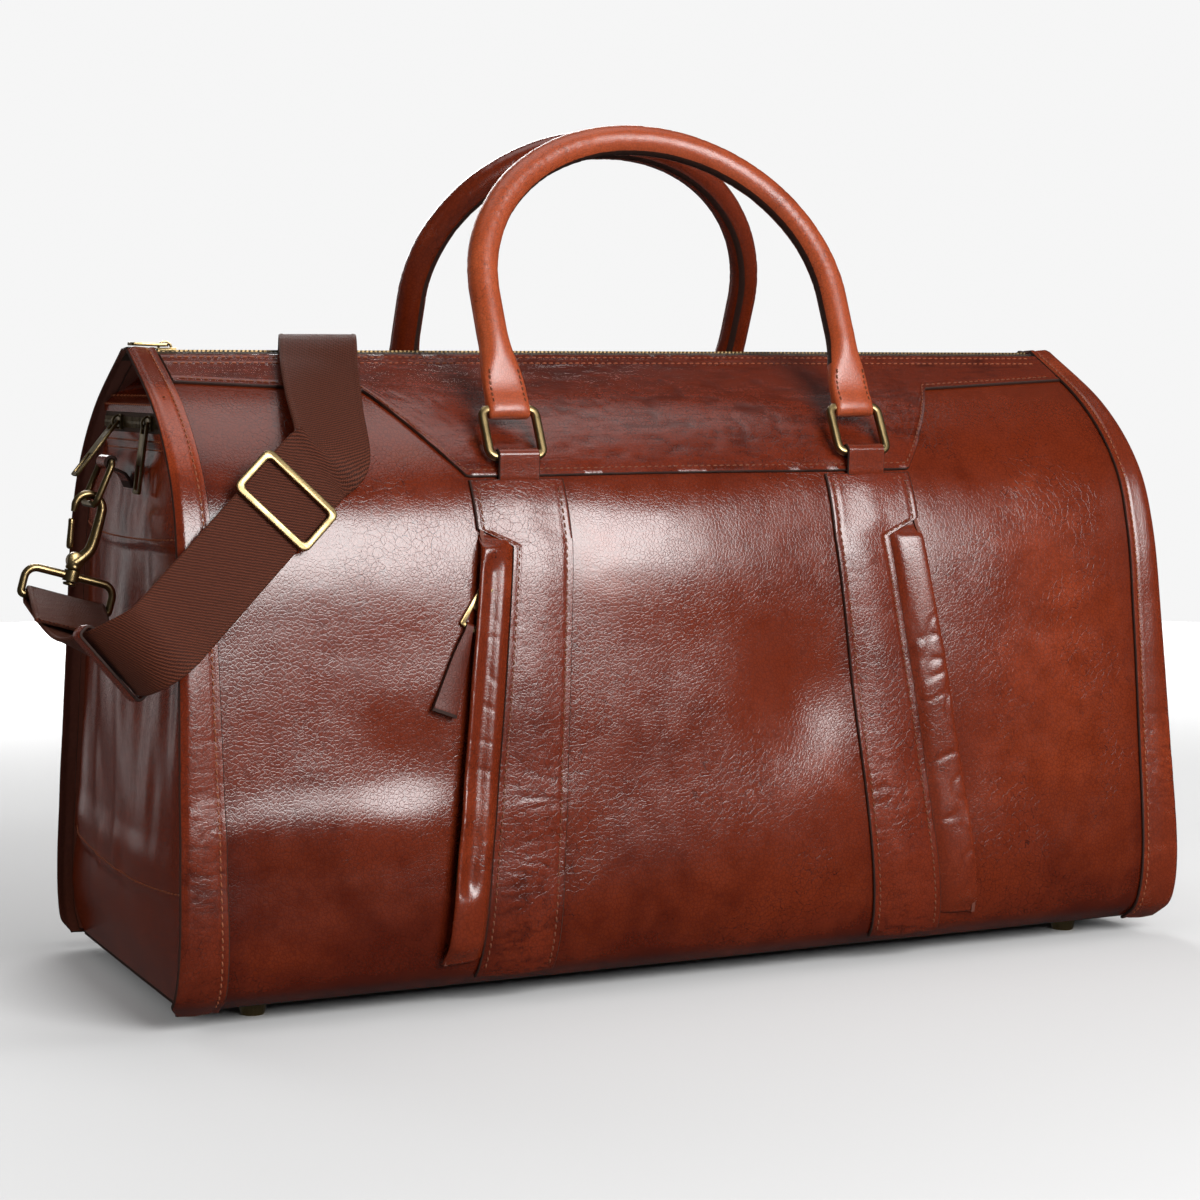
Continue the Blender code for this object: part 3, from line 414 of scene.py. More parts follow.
def weave(name, colour, high, rib, depth, sheen):
    """Ribs across and slanting along a strap, from its own coordinates in metres."""
    tree, shader = node_tree(name, colour, 0.62)
    n = Nodes(tree)
    parts = n.add("ShaderNodeSeparateXYZ")
    n.link(n.add("ShaderNodeUVMap", uv_map="cloth").outputs[0], parts.inputs[0])
    along, across = parts.outputs[0], parts.outputs[1]

    def wave(value, pitch):
        return n.times(n.plus(n.math("SINE", n.times(value, 2 * math.pi / pitch)), 1.0), 0.5)

    ribs = wave(n.plus(along, n.times(across, 0.72), n.times(n.noise(420.0, 2.0), 0.0009)), rib)
    yarn = wave(n.math("SUBTRACT", along, n.times(across, 0.35)), rib * 0.36)
    crossing = n.times(yarn, wave(across, rib * 0.52))
    fuzz = n.noise(1800.0, 3.0)
    mixed = n.times(n.plus(crossing, ribs), 0.5, 0.8)
    tone = n.plus(mixed, n.times(fuzz, 0.4), n.attribute("tone"))
    n.link(n.mix(n.span(tone, 0.15, 1.0), colour, high), shader.inputs["Base Color"])
    shader.inputs["Sheen Weight"].default_value = sheen
    shader.inputs["Specular IOR Level"].default_value = 0.10
    n.bumps(shader, (ribs, 0.00022 * depth), (crossing, 0.00014 * depth), (fuzz, 0.00006))


def plain_finish(name, colour, high, roughness, scale, depth, gloss):
    tree, shader = node_tree(name, colour, roughness)
    shader.inputs["Specular IOR Level"].default_value = gloss
    n = Nodes(tree)
    grain = n.noise(scale, 4.0, 0.6)
    n.link(n.mix(grain, colour, high), shader.inputs["Base Color"])
    n.bumps(shader, (grain, depth))


def make_materials():
    for name, values in LEATHERS.items():
        leather(name, *values)
    metal("brass", (0.285, 0.205, 0.096), 0.28)
    metal("teeth", (0.260, 0.180, 0.085), 0.38, wear=0.8)
    weave("webbing", (0.015, 0.0037, 0.0018), (0.098, 0.0240, 0.0108), 0.0016, 0.8, 0.01)
    weave("tape", (0.012, 0.006, 0.004), (0.045, 0.025, 0.015), 0.0012, 0.4, 0.02)
    for name, values in PLAIN_FINISHES.items():
        plain_finish(name, *values)


# Meshes.


def linked(name, data):
    made = bpy.data.objects.new(name, data)
    bpy.context.scene.collection.objects.link(made)
    return made


dict.fromkeys(("panel", "yoke", "patch"), "panel_leather")
dict.fromkeys(("trim", "handle", "puller"), "trim_leather")


def shown(name, mesh, kinds, body="root", replaces=(), sharp=40.0):
    """Puts a finished mesh in the scene, on its body, in place of the CAD nodes it stands for."""
    for kind in kinds:
        mesh.materials.append(MATERIALS[kind])
    mesh.shade_smooth()
    mesh.set_sharp_from_angle(angle=math.radians(sharp))
    made = linked(name, mesh)
    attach(made, body)
    if replaces:
        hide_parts(*replaces)


def stand_in(node, mesh, kinds, body="root", sharp=40.0):
    """Shows a mesh instead of one CAD node, and names it after the node."""
    ending = "look" if kinds[0] == "brass" else "leather"
    shown(f"{node}_{ending}", mesh, kinds, body, [node], sharp)


def mesh_of(points, faces, slots=None, uvs=None, tones=None):
    mesh = bpy.data.meshes.new("mesh")
    mesh.from_pydata(np.asarray(points, float).reshape(-1, 3).tolist(), [], faces)
    if slots is not None:
        mesh.polygons.foreach_set("material_index", np.asarray(slots, np.int32))
    if uvs is not None:
        layer = mesh.uv_layers.new(name="cloth")
        loops = np.zeros(len(mesh.loops), np.int32)
        mesh.loops.foreach_get("vertex_index", loops)
        layer.data.foreach_set("uv", np.asarray(uvs, float)[loops].ravel())
    if tones is not None:
        tone_and_shade = mesh.attributes.new("tone", "FLOAT", "POINT")
        tone_and_shade.data.foreach_set("value", np.asarray(tones, np.float32).ravel())
    mesh.update()
    return mesh


def tube_faces(rings, sides, base=0):
    """Faces between rings of vertices, then the two ends."""
    faces = []
    for i in range(base, base + (rings - 1) * sides):
        j = i + 1 if (i - base + 1) % sides else i + 1 - sides
        faces.append((i, j, j + sides, i + sides))
    last = base + (rings - 1) * sides
    return faces + [tuple(range(base + sides - 1, base - 1, -1)), tuple(range(last, last + sides))]


def slab_mesh(points, normals, thickness, tones=None, edge_slot=1, back_slot=None):
    """A sheet with its outer face at a grid of points, closed, with its rim lowered and dark."""
    points, normals = np.asarray(points, float), unit(normals)
    rows, columns = points.shape[:2]
    top = points.copy()
    for part in (np.s_[0, :], np.s_[-1, :], np.s_[:, 0], np.s_[:, -1]):
        top[part] = points[part] - normals[part] * (0.32 * thickness)
    bottom = points - normals * thickness
    index = np.arange(rows * columns).reshape(rows, columns)
    quads = np.stack([index[:-1, :-1], index[1:, :-1], index[1:, 1:], index[:-1, 1:]], axis=-1)
    quads = quads.reshape(-1, 4)
    slots = np.full((rows - 1, columns - 1), edge_slot, np.int32)
    slots[1:-1, 1:-1] = 0
    under = quads[:, ::-1] + rows * columns
    ring = np.array([*index[0, :-1], *index[:-1, -1], *index[-1, :0:-1], *index[:0:-1, 0]])
    following = np.roll(ring, -1)
    wall = np.stack([ring, following, following + rows * columns, ring + rows * columns], axis=-1)
    faces = np.vstack([quads, under, wall])
    first = np.cross(points[1, 0] - points[0, 0], points[0, 1] - points[0, 0])
    if first @ normals[0, 0] < 0:
        faces = faces[:, ::-1]
    back = np.full(len(under), edge_slot if back_slot is None else back_slot)
    kinds = np.concatenate([slots.ravel(), back, np.full(len(wall), edge_slot)])
    tone_and_shade = None if tones is None else np.concatenate([tones.ravel(), tones.ravel()])
    across = np.linalg.norm(np.diff(points, axis=1), axis=2).mean(0)
    length = np.linalg.norm(np.diff(points, axis=0), axis=2).mean(1)
    u = np.concatenate([[0], np.cumsum(length)])[:, None] + 0 * index
    v = np.concatenate([[0], np.cumsum(across)])[None, :] + 0 * index
    uvs = np.stack([u, v], axis=-1).reshape(-1, 2)
    both = np.vstack([top.reshape(-1, 3), bottom.reshape(-1, 3)])
    return mesh_of(both, faces.tolist(), kinds, np.vstack([uvs, uvs]), tone_and_shade)


def spaced(length, step, rim=0.0005):
    """Distances along an edge, with one close to each end for a rounded rim."""
    inner = np.linspace(rim, length - rim, max(int(round(length / step)), 2))
    return np.concatenate([[0], inner, [length]])


def sweep(points, section, closed=False, across=None, sizes=None, slots=None):
    """A tube: a section, as (across, out) points, carried along a line without twisting."""
    points = np.asarray(points, float)
    count = len(points)
    if closed:
        along = unit(np.roll(points, -1, axis=0) - np.roll(points, 1, axis=0))
    else:
        along = unit(np.gradient(points, axis=0))
    if across is None:
        guess = np.cross(along[0], (0, 0, 1) if abs(along[0][2]) < 0.9 else (1, 0, 0))
        sides = [unit(guess)]
        for k in range(1, count):
            sides.append(unit(sides[-1] - along[k] * (sides[-1] @ along[k])))
        sides = np.array(sides)
    else:
        sides = np.broadcast_to(np.asarray(across, float), points.shape)
        sides = unit(sides - along * (sides * along).sum(-1, keepdims=True))
    out = np.cross(sides, along)
    section = np.asarray(section, float)
    if section.ndim == 2:
        section = np.broadcast_to(section, (count, *section.shape))
    if sizes is not None:
        section = section * np.asarray(sizes, float).reshape(count, 1, -1)
    ring = points[:, None] + sides[:, None] * section[..., :1] + out[:, None] * section[..., 1:]
    sides = section.shape[1]
    index = np.arange(count * sides).reshape(count, sides)
    after = np.roll(index, -1, axis=0) if closed else index[1:]
    before = index if closed else index[:-1]
    quads = np.stack([before, np.roll(before, -1, 1), np.roll(after, -1, 1), after], axis=-1)
    kinds = np.broadcast_to(0 if slots is None else slots, quads.shape[:2]).ravel().tolist()
    faces = quads.reshape(-1, 4).tolist()
    if not closed:
        faces += [index[0][::-1].tolist(), index[-1].tolist()]
        kinds += [0, 0]
    run, around = travel(points), travel(section[0])
    uvs = np.stack(np.broadcast_arrays(run[:, None], around[None, :]), axis=-1).reshape(-1, 2)
    mesh = mesh_of(ring, faces, kinds, uvs)
    x, y = section[0].T
    if np.sum(x * np.roll(y, -1) - np.roll(x, -1) * y) > 0:
        mesh.flip_normals()
    return mesh


LATHE_SIDES, HANDLE_SIDES = 24, 28


def circle(radius, sides=12):
    turn = np.arange(sides) * 2 * math.pi / sides
    return np.stack([radius * np.cos(turn), radius * np.sin(turn)], axis=1)


def joined(*meshes):
    """Several meshes in one, as separate closed shells."""
    bm = bmesh.new()
    for mesh in meshes:
        bm.from_mesh(mesh)
        bpy.data.meshes.remove(mesh)
    made = bpy.data.meshes.new("mesh")
    bm.to_mesh(made)
    bm.free()
    return made


def turned_mesh(profile, place, axis):
    """A lathed piece: (radius, distance along) points from one end to the other."""
    axis = Vector(axis).normalized()
    helper = Vector((1, 0, 0)) if abs(axis.x) < 0.8 else Vector((0, 1, 0))
    a = axis.cross(helper).normalized()
    b = axis.cross(a)
    angles = np.arange(LATHE_SIDES) * 2 * math.pi / LATHE_SIDES
    points = [
        Vector(place) + axis * h + (a * math.cos(t) + b * math.sin(t)) * max(r, 1e-5)
        for r, h in profile
        for t in angles
    ]
    return mesh_of(points, tube_faces(len(profile), LATHE_SIDES))


def flat_piece(outlines, half, bevel, matrix):
    """A flat piece with holes, from outlines in its own XY plane."""
    curve = bpy.data.curves.new("outlines", "CURVE")
    curve.dimensions = "2D"
    curve.fill_mode = "BOTH"
    curve.extrude = half - bevel
    curve.bevel_depth = bevel
    curve.bevel_resolution = 1
    curve.offset = -bevel
    for outline in outlines:
        line = curve.splines.new("POLY")
        line.points.add(len(outline) - 1)
        line.use_cyclic_u = True
        for point, place in zip(line.points, outline):
            point.co = (*place, 0, 1)
    helper = linked("outlines", curve)
    bpy.context.view_layer.update()
    drawn = helper.evaluated_get(bpy.context.evaluated_depsgraph_get())
    mesh = bpy.data.meshes.new_from_object(drawn)
    bpy.data.objects.remove(helper)
    bpy.data.curves.remove(curve)
    bm = bmesh.new()
    bm.from_mesh(mesh)
    bmesh.ops.remove_doubles(bm, verts=bm.verts, dist=1e-6)
    bmesh.ops.recalc_face_normals(bm, faces=bm.faces)
    bm.to_mesh(mesh)
    bm.free()
    mesh.materials.clear()
    mesh.transform(matrix)
    return mesh


# Stitching.

PITCH, STITCH, THREAD = 0.0036, 0.0027, 0.00036  # spacing, length and radius
STITCH_RINGS = ((-0.5, 0.25), (-0.36, 0.85), (0.0, 1.0), (0.36, 0.85), (0.5, 0.25))
STITCH_SIDES, STITCH_SLANT, STITCH_LIFT = 6, 0.12, 0.00012


def stitch_mesh(lines, pitch=PITCH, long=STITCH):
    """One spindle for each stitch along lines of (points, normals)."""
    verts, faces = [], []
    for points, normals in lines:
        points, normals = np.asarray(points, float), unit(normals)
        run = travel(points)
        for middle in np.arange(pitch * 0.7, run[-1] - pitch * 0.5, pitch):
            spots = [middle - long / 2, middle, middle + long / 2]
            a, m, b = (np.array([np.interp(s, run, points[:, k]) for k in range(3)]) for s in spots)
            up = unit([np.interp(middle, run, normals[:, k]) for k in range(3)])
            along = unit(b - a)
            along = unit(along + STITCH_SLANT * np.cross(up, along))
            side = unit(np.cross(up, along))
            faces += tube_faces(len(STITCH_RINGS), STITCH_SIDES, len(verts))
            for t, share in STITCH_RINGS:
                core = m + along * (t * long) + up * (STITCH_LIFT - 0.0004 * abs(2 * t) ** 3)
                for turn in np.arange(STITCH_SIDES) * math.pi / 3:
                    spoke = 1.25 * side * math.cos(turn) + up * math.sin(turn)
                    verts.append(core + THREAD * share * spoke)
    return mesh_of(verts, faces)


def sew(name, lines, slot, kind="thread", body="root", **sizes):
    shown(f"{name}_stitches", stitch_mesh(lines, **sizes), [kind], body, sharp=180)


# Leather pieces laid on the skin.


def crimp(x, run, long, short, depth, seed):
    """Creases that run lengthwise, close together down the bag."""
    bent = run + 0.0020 * field(x / 0.014, run / 0.020, seed + 1)
    rise = field(x / long, bent / short, seed)
    return depth * (1 - 2.2 * smooth(1 - np.abs(rise) / 0.30))


def pressed(off, inset=SEAM_INSET):
    """The furrow along a row of stitches, by the distance from the piece's edge."""
    return -0.00035 * bump(off, inset, SEAM_WIDTH)


def laid(node, kind, x, run, side, more, tones, out=SEAT, thickness=OVERLAY, sharp=40.0):
    """A slab on the skin at grids of x and distance down, raised by more and shaded by tones."""
    x, run = np.broadcast_arrays(x, run)
    points, normals = skin(x, run, side, out + (more(x, run) if more else 0.0))
    mesh = slab_mesh(points, normals, thickness, tones(x, run), back_slot=2)
    stand_in(node, mesh, [kind, "edge", "inside"], "root", sharp)


def panel_tones_and_shade(x, run):
    # Painted shade beside the seams of the patches and trims, and toward the bottom; also darker toward the
    # top and the left end and lighter on the right bay; the field is random tone.
    z = level(run)
    seam = np.minimum(np.abs(np.abs(x) - splay(PATCH_INNER, z)), np.abs(TRIM_INNER - np.abs(x)))
    right = smooth((x - 0.12) / 0.05)
    tone_and_shade = -0.10 * smooth(1 - seam / 0.012) - 0.10 * smooth((z - 0.225) / 0.03)
    tone_and_shade = tone_and_shade + 0.14 * right * smooth((z - 0.03) / 0.06) - 0.10 * smooth((-x - 0.14) / 0.05)
    tone_and_shade = tone_and_shade - (0.18 + 0.10 * right) * smooth((0.095 - z) / 0.03)
    return tone_and_shade - 0.10 * smooth((0.035 - z) / 0.02) + 0.06 * field(x / 0.05, run / 0.05, 51)


def make_panels():
    top = down(0.3030)
    run = spaced(RUN[-1] - top, 0.0025)[:, None] + top
    x = (spaced(2.0, 0.0095, 0.002) - 1.0)[None, :] * (half_length(level(run)) - FLANGE)
    for face, side in FACES:
        laid(f"{face}_panel", "panel", x, run, side, None, panel_tones_and_shade, 0.0, LEATHER, 50)


YOKE_HALF, YOKE_TOP, YOKE_INSET = 0.2482, 0.3052, 0.0036
YOKE_CORNERS = ((-YOKE_HALF, 0.2925), (-0.157, 0.2880), (-0.121, 0.2480))
YOKE_CORNERS += tuple((-x, z) for x, z in YOKE_CORNERS[::-1])
ZIP_SEAMS = (0.0030, 0.0092)


def yoke_foot(x):
    return down(np.interp(x, *zip(*YOKE_CORNERS)))


def make_yokes():
    top, rim = down(YOKE_TOP), 0.0005
    x = spaced(2 * YOKE_HALF, 0.0020)[None, :] - YOKE_HALF
    length = yoke_foot(x) - top
    run = top + rim + (length - 2 * rim) * np.linspace(0, 1, 44)[:, None]
    run = np.vstack([0 * x + top, run, yoke_foot(x)])
    along = np.linspace(-0.2450, 0.2450, 500)
    for face, side in FACES:

        def more(x, run):
            wrinkled = crimp(x, run, 0.022, 0.0026, 0.00011, 61 + side)
            fine = crimp(x, run, 0.014, 0.0016, 0.00006, 71 + side)
            press = pressed(yoke_foot(x) - run, YOKE_INSET)
            for inset in ZIP_SEAMS:
                press = press - 0.0003 * bump(run - top, inset, 0.0015)
            return (wrinkled + fine) * smooth((0.2 - np.abs(x)) / 0.1 + 0.3) + press

        def tones(x, run):
            # Painted shade in the creases' valleys; the -0.16 is the yoke's darker leather and the field
            # its random tone; darker toward the left end.
            tone_and_shade = 0.10 * crimp(x, run, 0.022, 0.0026, 1.0, 61 + side) - 0.16
            return tone_and_shade + 0.10 * field(x / 0.06, run / 0.02, 81) - 0.12 * smooth((-x - 0.14) / 0.04)

        laid(f"{face}_yoke", "yoke", x, run, side, more, tones)
        foot = skin(along, yoke_foot(along) - YOKE_INSET, side, SEWN)
        sew(f"{face}_yoke", [foot], "panel_leather", "dark_thread")
        sew(f"{face}_zip", [skin(along, top + inset, side, SEWN) for inset in ZIP_SEAMS], "panel_leather")


def make_trims():
    top, foot = down(0.3085), RUN[-1]
    run = (top + spaced(foot - top, 0.0013))[:, None]
    wide = half_length(level(run)) - TRIM_INNER
    wide = wide * (1 - 0.16 * smooth((run - foot + 0.012) / 0.012) ** 2)
    x = TRIM_INNER + wide * spaced(1.0, 0.045, 0.025)[None, :]
    along = np.linspace(top + 0.003, foot - 0.004, 300)
    for face, side, end, way in CORNERS:

        def more(x, run):
            z = level(run)
            low = bump(z, 0.095, 0.075)
            folds = crimp(x, run, 0.013, 0.0025, 0.00006, 91 + way) * low
            folds = folds + crimp(x, run, 0.018, 0.0052, 0.00005, 95 + side) * (0.25 + 0.75 * low)
            inner = np.abs(x) - TRIM_INNER
            roll = -0.0012 * smooth(1 - (half_length(z) - np.abs(x)) / 0.004)
            return folds + pressed(inner) + roll + 0.0005 * bump(inner, 0.012, 0.008)

        def tones(x, run):
            z = level(run)
            edge = smooth(1 - (half_length(z) - np.abs(x)) / 0.006)
            # creased is painted shade in the creases' valleys; worn is the upper left trim's own wear, and
            # edge lightens its outer rim.
            creased = 0.12 * crimp(x, run, 0.013, 0.0025, 1.0, 91 + way) * bump(z, 0.095, 0.075)
            worn = 0.0 if way > 0 else 0.48 * smooth((z - 0.235) / 0.03) * smooth((0.300 - z) / 0.02)
            # Painted shade toward the bottom; the right trims are lighter and the left ones darker.
            tone_and_shade = creased + worn + 0.04 * edge - 0.12 * smooth((0.095 - z) / 0.03)
            return tone_and_shade + (0.10 if way > 0 else -0.06)

        laid(f"{face}_{end}_trim", "trim", way * x, run, side, more, tones)
        row = skin(way * (TRIM_INNER + SEAM_INSET), along, side, SEWN)
        sew(f"{face}_{end}_trim", [row], "trim_leather")


def patch_sides(z):
    """The inner and outer edge of a patch at a height."""
    inner = np.where(z > STEP_FOOT, PATCH_INNER[0], splay(PATCH_INNER, z))
    outer = np.where(z > STEP_FOOT, PATCH_OUTER[0], splay(PATCH_OUTER, z))
    step = np.clip((z - STEP_FOOT) / (HEAD_FOOT - STEP_FOOT), 0, 1)
    return inner, outer + (PATCH_HEAD - outer) * step


def make_patches():
    top, foot = down(PATCH_TOP), down(PATCH_FOOT)
    run = (top + spaced(foot - top, 0.0012))[:, None]
    inner, outer = patch_sides(level(run))
    x = inner + (outer - inner) * spaced(1.0, 0.030, 0.014)[None, :]
    along = np.linspace(top + 0.0035, foot - 0.003, 400)
    over = np.linspace(PATCH_INNER[0] + 0.004, PATCH_HEAD - 0.004, 40)
    for face, side, end, way in CORNERS:
        seed = 101 + 3 * way + side

        def more(x, run):
            z = level(run)
            inner, outer = patch_sides(z)
            low = smooth((0.135 - z) / 0.05) * smooth((z - 0.012) / 0.02)
            folds = crimp(x, run, 0.011, 0.0025, 0.00008, seed) * low * smooth((outer - np.abs(x)) / 0.016)
            folds = folds + crimp(x, run, 0.012, 0.0014, 0.00002, 111)
            press = pressed(np.abs(np.abs(x) - inner)) + pressed(np.abs(np.abs(x) - outer))
            return folds + press + 0.0007 * bump(np.abs(x), (inner + outer) / 2, 0.018)

        def tones(x, run):
            z = level(run)
            inner, outer = patch_sides(z)
            edge = np.minimum(np.abs(x) - inner, outer - np.abs(x))
            low = smooth((0.135 - z) / 0.05) * smooth(edge / 0.010)
            # Painted shade in the creases' valleys low on the patch; also darker within 4 mm of its edges.
            tone_and_shade = 0.12 * crimp(x, run, 0.011, 0.0025, 1.0, seed) * low - 0.10 * smooth(1 - edge / 0.004)
            tone_and_shade = tone_and_shade + 0.10 * field(x / 0.02, run / 0.05, 121)
            # Painted shade toward the bottom.
            return tone_and_shade - (0.06 + 0.12 * smooth((0.095 - z) / 0.04))

        laid(f"{face}_{end}_patch", "patch", way * x, run, side, more, tones)
        a, b = patch_sides(level(along))
        rows = [skin(way * (a + SEAM_INSET), along, side, SEWN)]
        rows.append(skin(way * (b - SEAM_INSET), along, side, SEWN))
        rows.append(skin(way * over, top + SEAM_INSET, side, SEWN))
        sew(f"{face}_{end}_patch", rows, "panel_leather", "dark_thread")


PLACKET_PROFILE = [(0.00, 0.0002), (0.10, 0.0016), (0.28, 0.0044), (0.50, 0.0060), (0.74, 0.0067)]
PLACKET_PROFILE += [(0.90, 0.0066), (0.98, 0.0058), (1.00, 0.0046), (0.97, 0.0037), (0.88, 0.0036)]


PLACKET_LEATHER, PLACKET_RAISED = 0.0013, 0.0019


def grid_normals(points, towards):
    across = np.cross(np.gradient(points, axis=0), np.gradient(points, axis=1))
    across = unit(across)
    sign = np.sign((across.reshape(-1, 3).mean(0)) @ np.asarray(towards, float))
    return across * (sign or 1.0)


def make_plackets():
    """Strips sewn down one edge; the left one stands higher at its foot, for the zip's pull."""
    profile = through(PLACKET_PROFILE, 4)
    top, foot = down(0.2236), down(PLACKET_FOOT)
    run = (top + spaced(foot - top, 0.0012))[:, None]
    for end, way, share in (("left", -1, 1.0), ("right", 1, 0.62)):
        z = level(run)
        inner, outer = splay(PATCH_OUTER, z) - 0.0012, splay(PLACKET_OUTER, z)
        u, lift = profile[None, :, 0], profile[None, :, 1]
        width = outer - inner
        buckle = crimp(u * 0.02 + run * 0.3, run + 0.004 * u, 0.011, 0.0100, 0.00018, 131 + way)
        buckle = buckle * (1.0 if way > 0 else 0.50) * smooth((0.200 - z) / 0.04) * smooth(u * 2.5)
        close = 1 - 0.55 * smooth((0.034 - z) / 0.010) - 0.90 * smooth((z - 0.2135) / 0.008)
        x = way * (inner + width * u + 0.0004 * field(run / 0.02, 0 * u, 137) * u)
        sunk = relief(x, run, -1) + GROOVE * pocket_groove(x, z)
        room = np.maximum(-sunk, 0) * smooth(4 * u)
        raised = 0.0 if way > 0 else PLACKET_RAISED * smooth((0.150 - z) / 0.070) * smooth(4 * u)
        points, _ = skin(x, run, -1, (lift * share + buckle + raised) * close + room)
        # Painted shade toward the bottom of the right placket.
        tones = 0.06 - 0.16 * max(way, 0) * smooth((0.1 - z) / 0.06) + 0 * u
        mesh = slab_mesh(points, grid_normals(points, (0, -1, 0)), PLACKET_LEATHER, tones, back_slot=2)
        stand_in(f"{end}_placket", mesh, ["trim", "edge", "inside"], sharp=55)


# The ends.

GUSSET_INSET, GUSSET_LIFT = 0.011, 0.0007
END_ZIP_X, END_ZIP_Z = 0.2585, 0.2740
SEAMS = (0.2190, 0.0560)
WELT_SEAMS = (-0.0085, 0.0085, -0.0125, 0.0125)


def half_depth(height):
    return np.interp(down(height), RUN, STATIONS[:, 0])


def seam_height(y, k):
    """A gusset's seams sag in the middle."""
    return SEAMS[k] - 0.004 * (1 - (y / 0.10) ** 2) + 0.002 * k


def gusset_x(y, z):
    wide = half_depth(z) - 0.002
    across = 1 - np.minimum(np.abs(y) / wide, 1.0) ** 2
    belly = 0.009 * across * smooth((z - 0.02) / 0.06) * smooth((0.272 - z) / 0.02)
    fold = 0.040 * across * smooth((z - 0.279) / 0.016)
    return half_length(z) - GUSSET_INSET + belly - fold


def end_relief(y, z, way):
    seam = 0.0
    for k in range(len(SEAMS)):
        above = z - seam_height(y, k)
        seam = seam + 0.0018 * smooth(above / 0.0012) * (1 - smooth((above - 0.010) / 0.02))
    folds = 0.0024 * field(y / 0.030 + 3.1, z / 0.085, 141 + way) + 0.0008 * field(y / 0.012, z / 0.05, 143)
    inside = smooth((z - 0.03) / 0.05) * smooth((0.262 - z) / 0.03)
    folds = folds * inside * smooth((half_depth(z) - np.abs(y)) / 0.02)
    pouch = 0.0060 * bump(z, 0.034, 0.034) * (1 - 0.5 * (y / 0.11) ** 2)
    if way > 0:
        return seam + folds + pouch
    off = np.abs(z - END_ZIP_Z)
    reach = np.where(off > 0.0044, smooth(1 - (off - 0.007) / 0.013), 0.0)
    proud = np.maximum(END_ZIP_X + 0.0006 - (gusset_x(y, z) + GUSSET_LIFT), 0)
    return seam + folds + proud * reach * smooth((0.056 - np.abs(y)) / 0.006) + pouch


def gusset_points(y, z, way):
    x = gusset_x(y, z) + GUSSET_LIFT + end_relief(y, z, way)
    return np.stack([way * x, y, z], axis=-1)


def make_gussets():
    for end, way in ENDS:
        heights = [np.arange(0.3010, 0.2860, -0.0015), np.arange(0.2860, 0.2620, -0.0006)]
        heights += [np.arange(0.2620, 0.0050, -0.0022)]
        z = np.concatenate(heights)[:, None]
        y = (spaced(2.0, 0.026, 0.006) - 1.0)[None, :] * (half_depth(z) - 0.0024)
        z = z + 0 * y
        points = gusset_points(y, z, way)
        # Lighter between the upper seam and the fold; painted shade in the recess where the gusset folds in
        # at the top.
        tones = 0.02 + 0.20 * smooth((z - 0.222) / 0.004) * smooth((0.262 - z) / 0.004)
        tones = tones - 0.25 * smooth((z - 0.276) / 0.008)
        mesh = slab_mesh(points, grid_normals(points, (way, 0, 0)), OVERLAY, tones, back_slot=2)
        stand_in(f"{end}_gusset", mesh, ["panel", "edge", "inside"], sharp=60)
        lines = []
        for k, height in enumerate(SEAMS):
            across = np.linspace(-0.90, 0.90, 120) * half_depth(height)
            lines.append(gusset_points(across, seam_height(across, k) + 0.0045, way))
        if way < 0:
            across = np.linspace(-0.052, 0.052, 80)
            lines += [gusset_points(across, END_ZIP_Z + off + 0 * across, way) for off in WELT_SEAMS]
        rows = [(line, np.tile((way, 0, 0), (len(line), 1))) for line in lines]
        sew(f"{end}_gusset", rows, "panel_leather")


# Zips, sliders and pulls. A zip's own frame has X along it, Y across and Z out of the bag.

SLIDER_TOP, PLATE, EYE_Z = 0.0013, 0.0008, 0.0033
BRIDGE_RADIUS, BRIDGE_Z = 0.0031, 0.0019
EYE_BACK, EYE_BAR, EYE_WINDOW, PULL_WIDTH = 0.0008, 0.0014, 0.0044, 0.0100
ZIP_END, MAIN_ZIP_Z = 0.250, 0.3075
POCKET_TOP, POCKET_FOOT = 0.2050, 0.0600
POCKET_PULL, PULLER_TURN, PULLER_LIFT = 0.022, 27, 2


def axes(across, along, out):
    return Matrix((across, along, out)).transposed().to_4x4()


def turned(degrees, axis):
    return Matrix.Rotation(math.radians(degrees), 4, axis)


TAPE = ((0.0020, 0.0002), (0.0024, 0.0004), (0.0045, 0.0001), (0.0066, 0.0), (0.0072, -0.0002))
RIDGE_TAPE = ((0.0020, 0.0002), (0.0030, 0.0002), (0.0060, -0.0008), (0.0095, -0.0022), (0.0125, -0.0036))
TOOTH_PITCH = 0.0022
TOOTH = ((0.0026, 0.0007), (0.0009, 0.0007), (0.0003, 0.0010), (-0.0006, 0.0007))
TOOTH_LEVELS = ((-0.0009, 0.8), (-0.0005, 1.0), (0.0007, 1.0), (0.0011, 0.72))


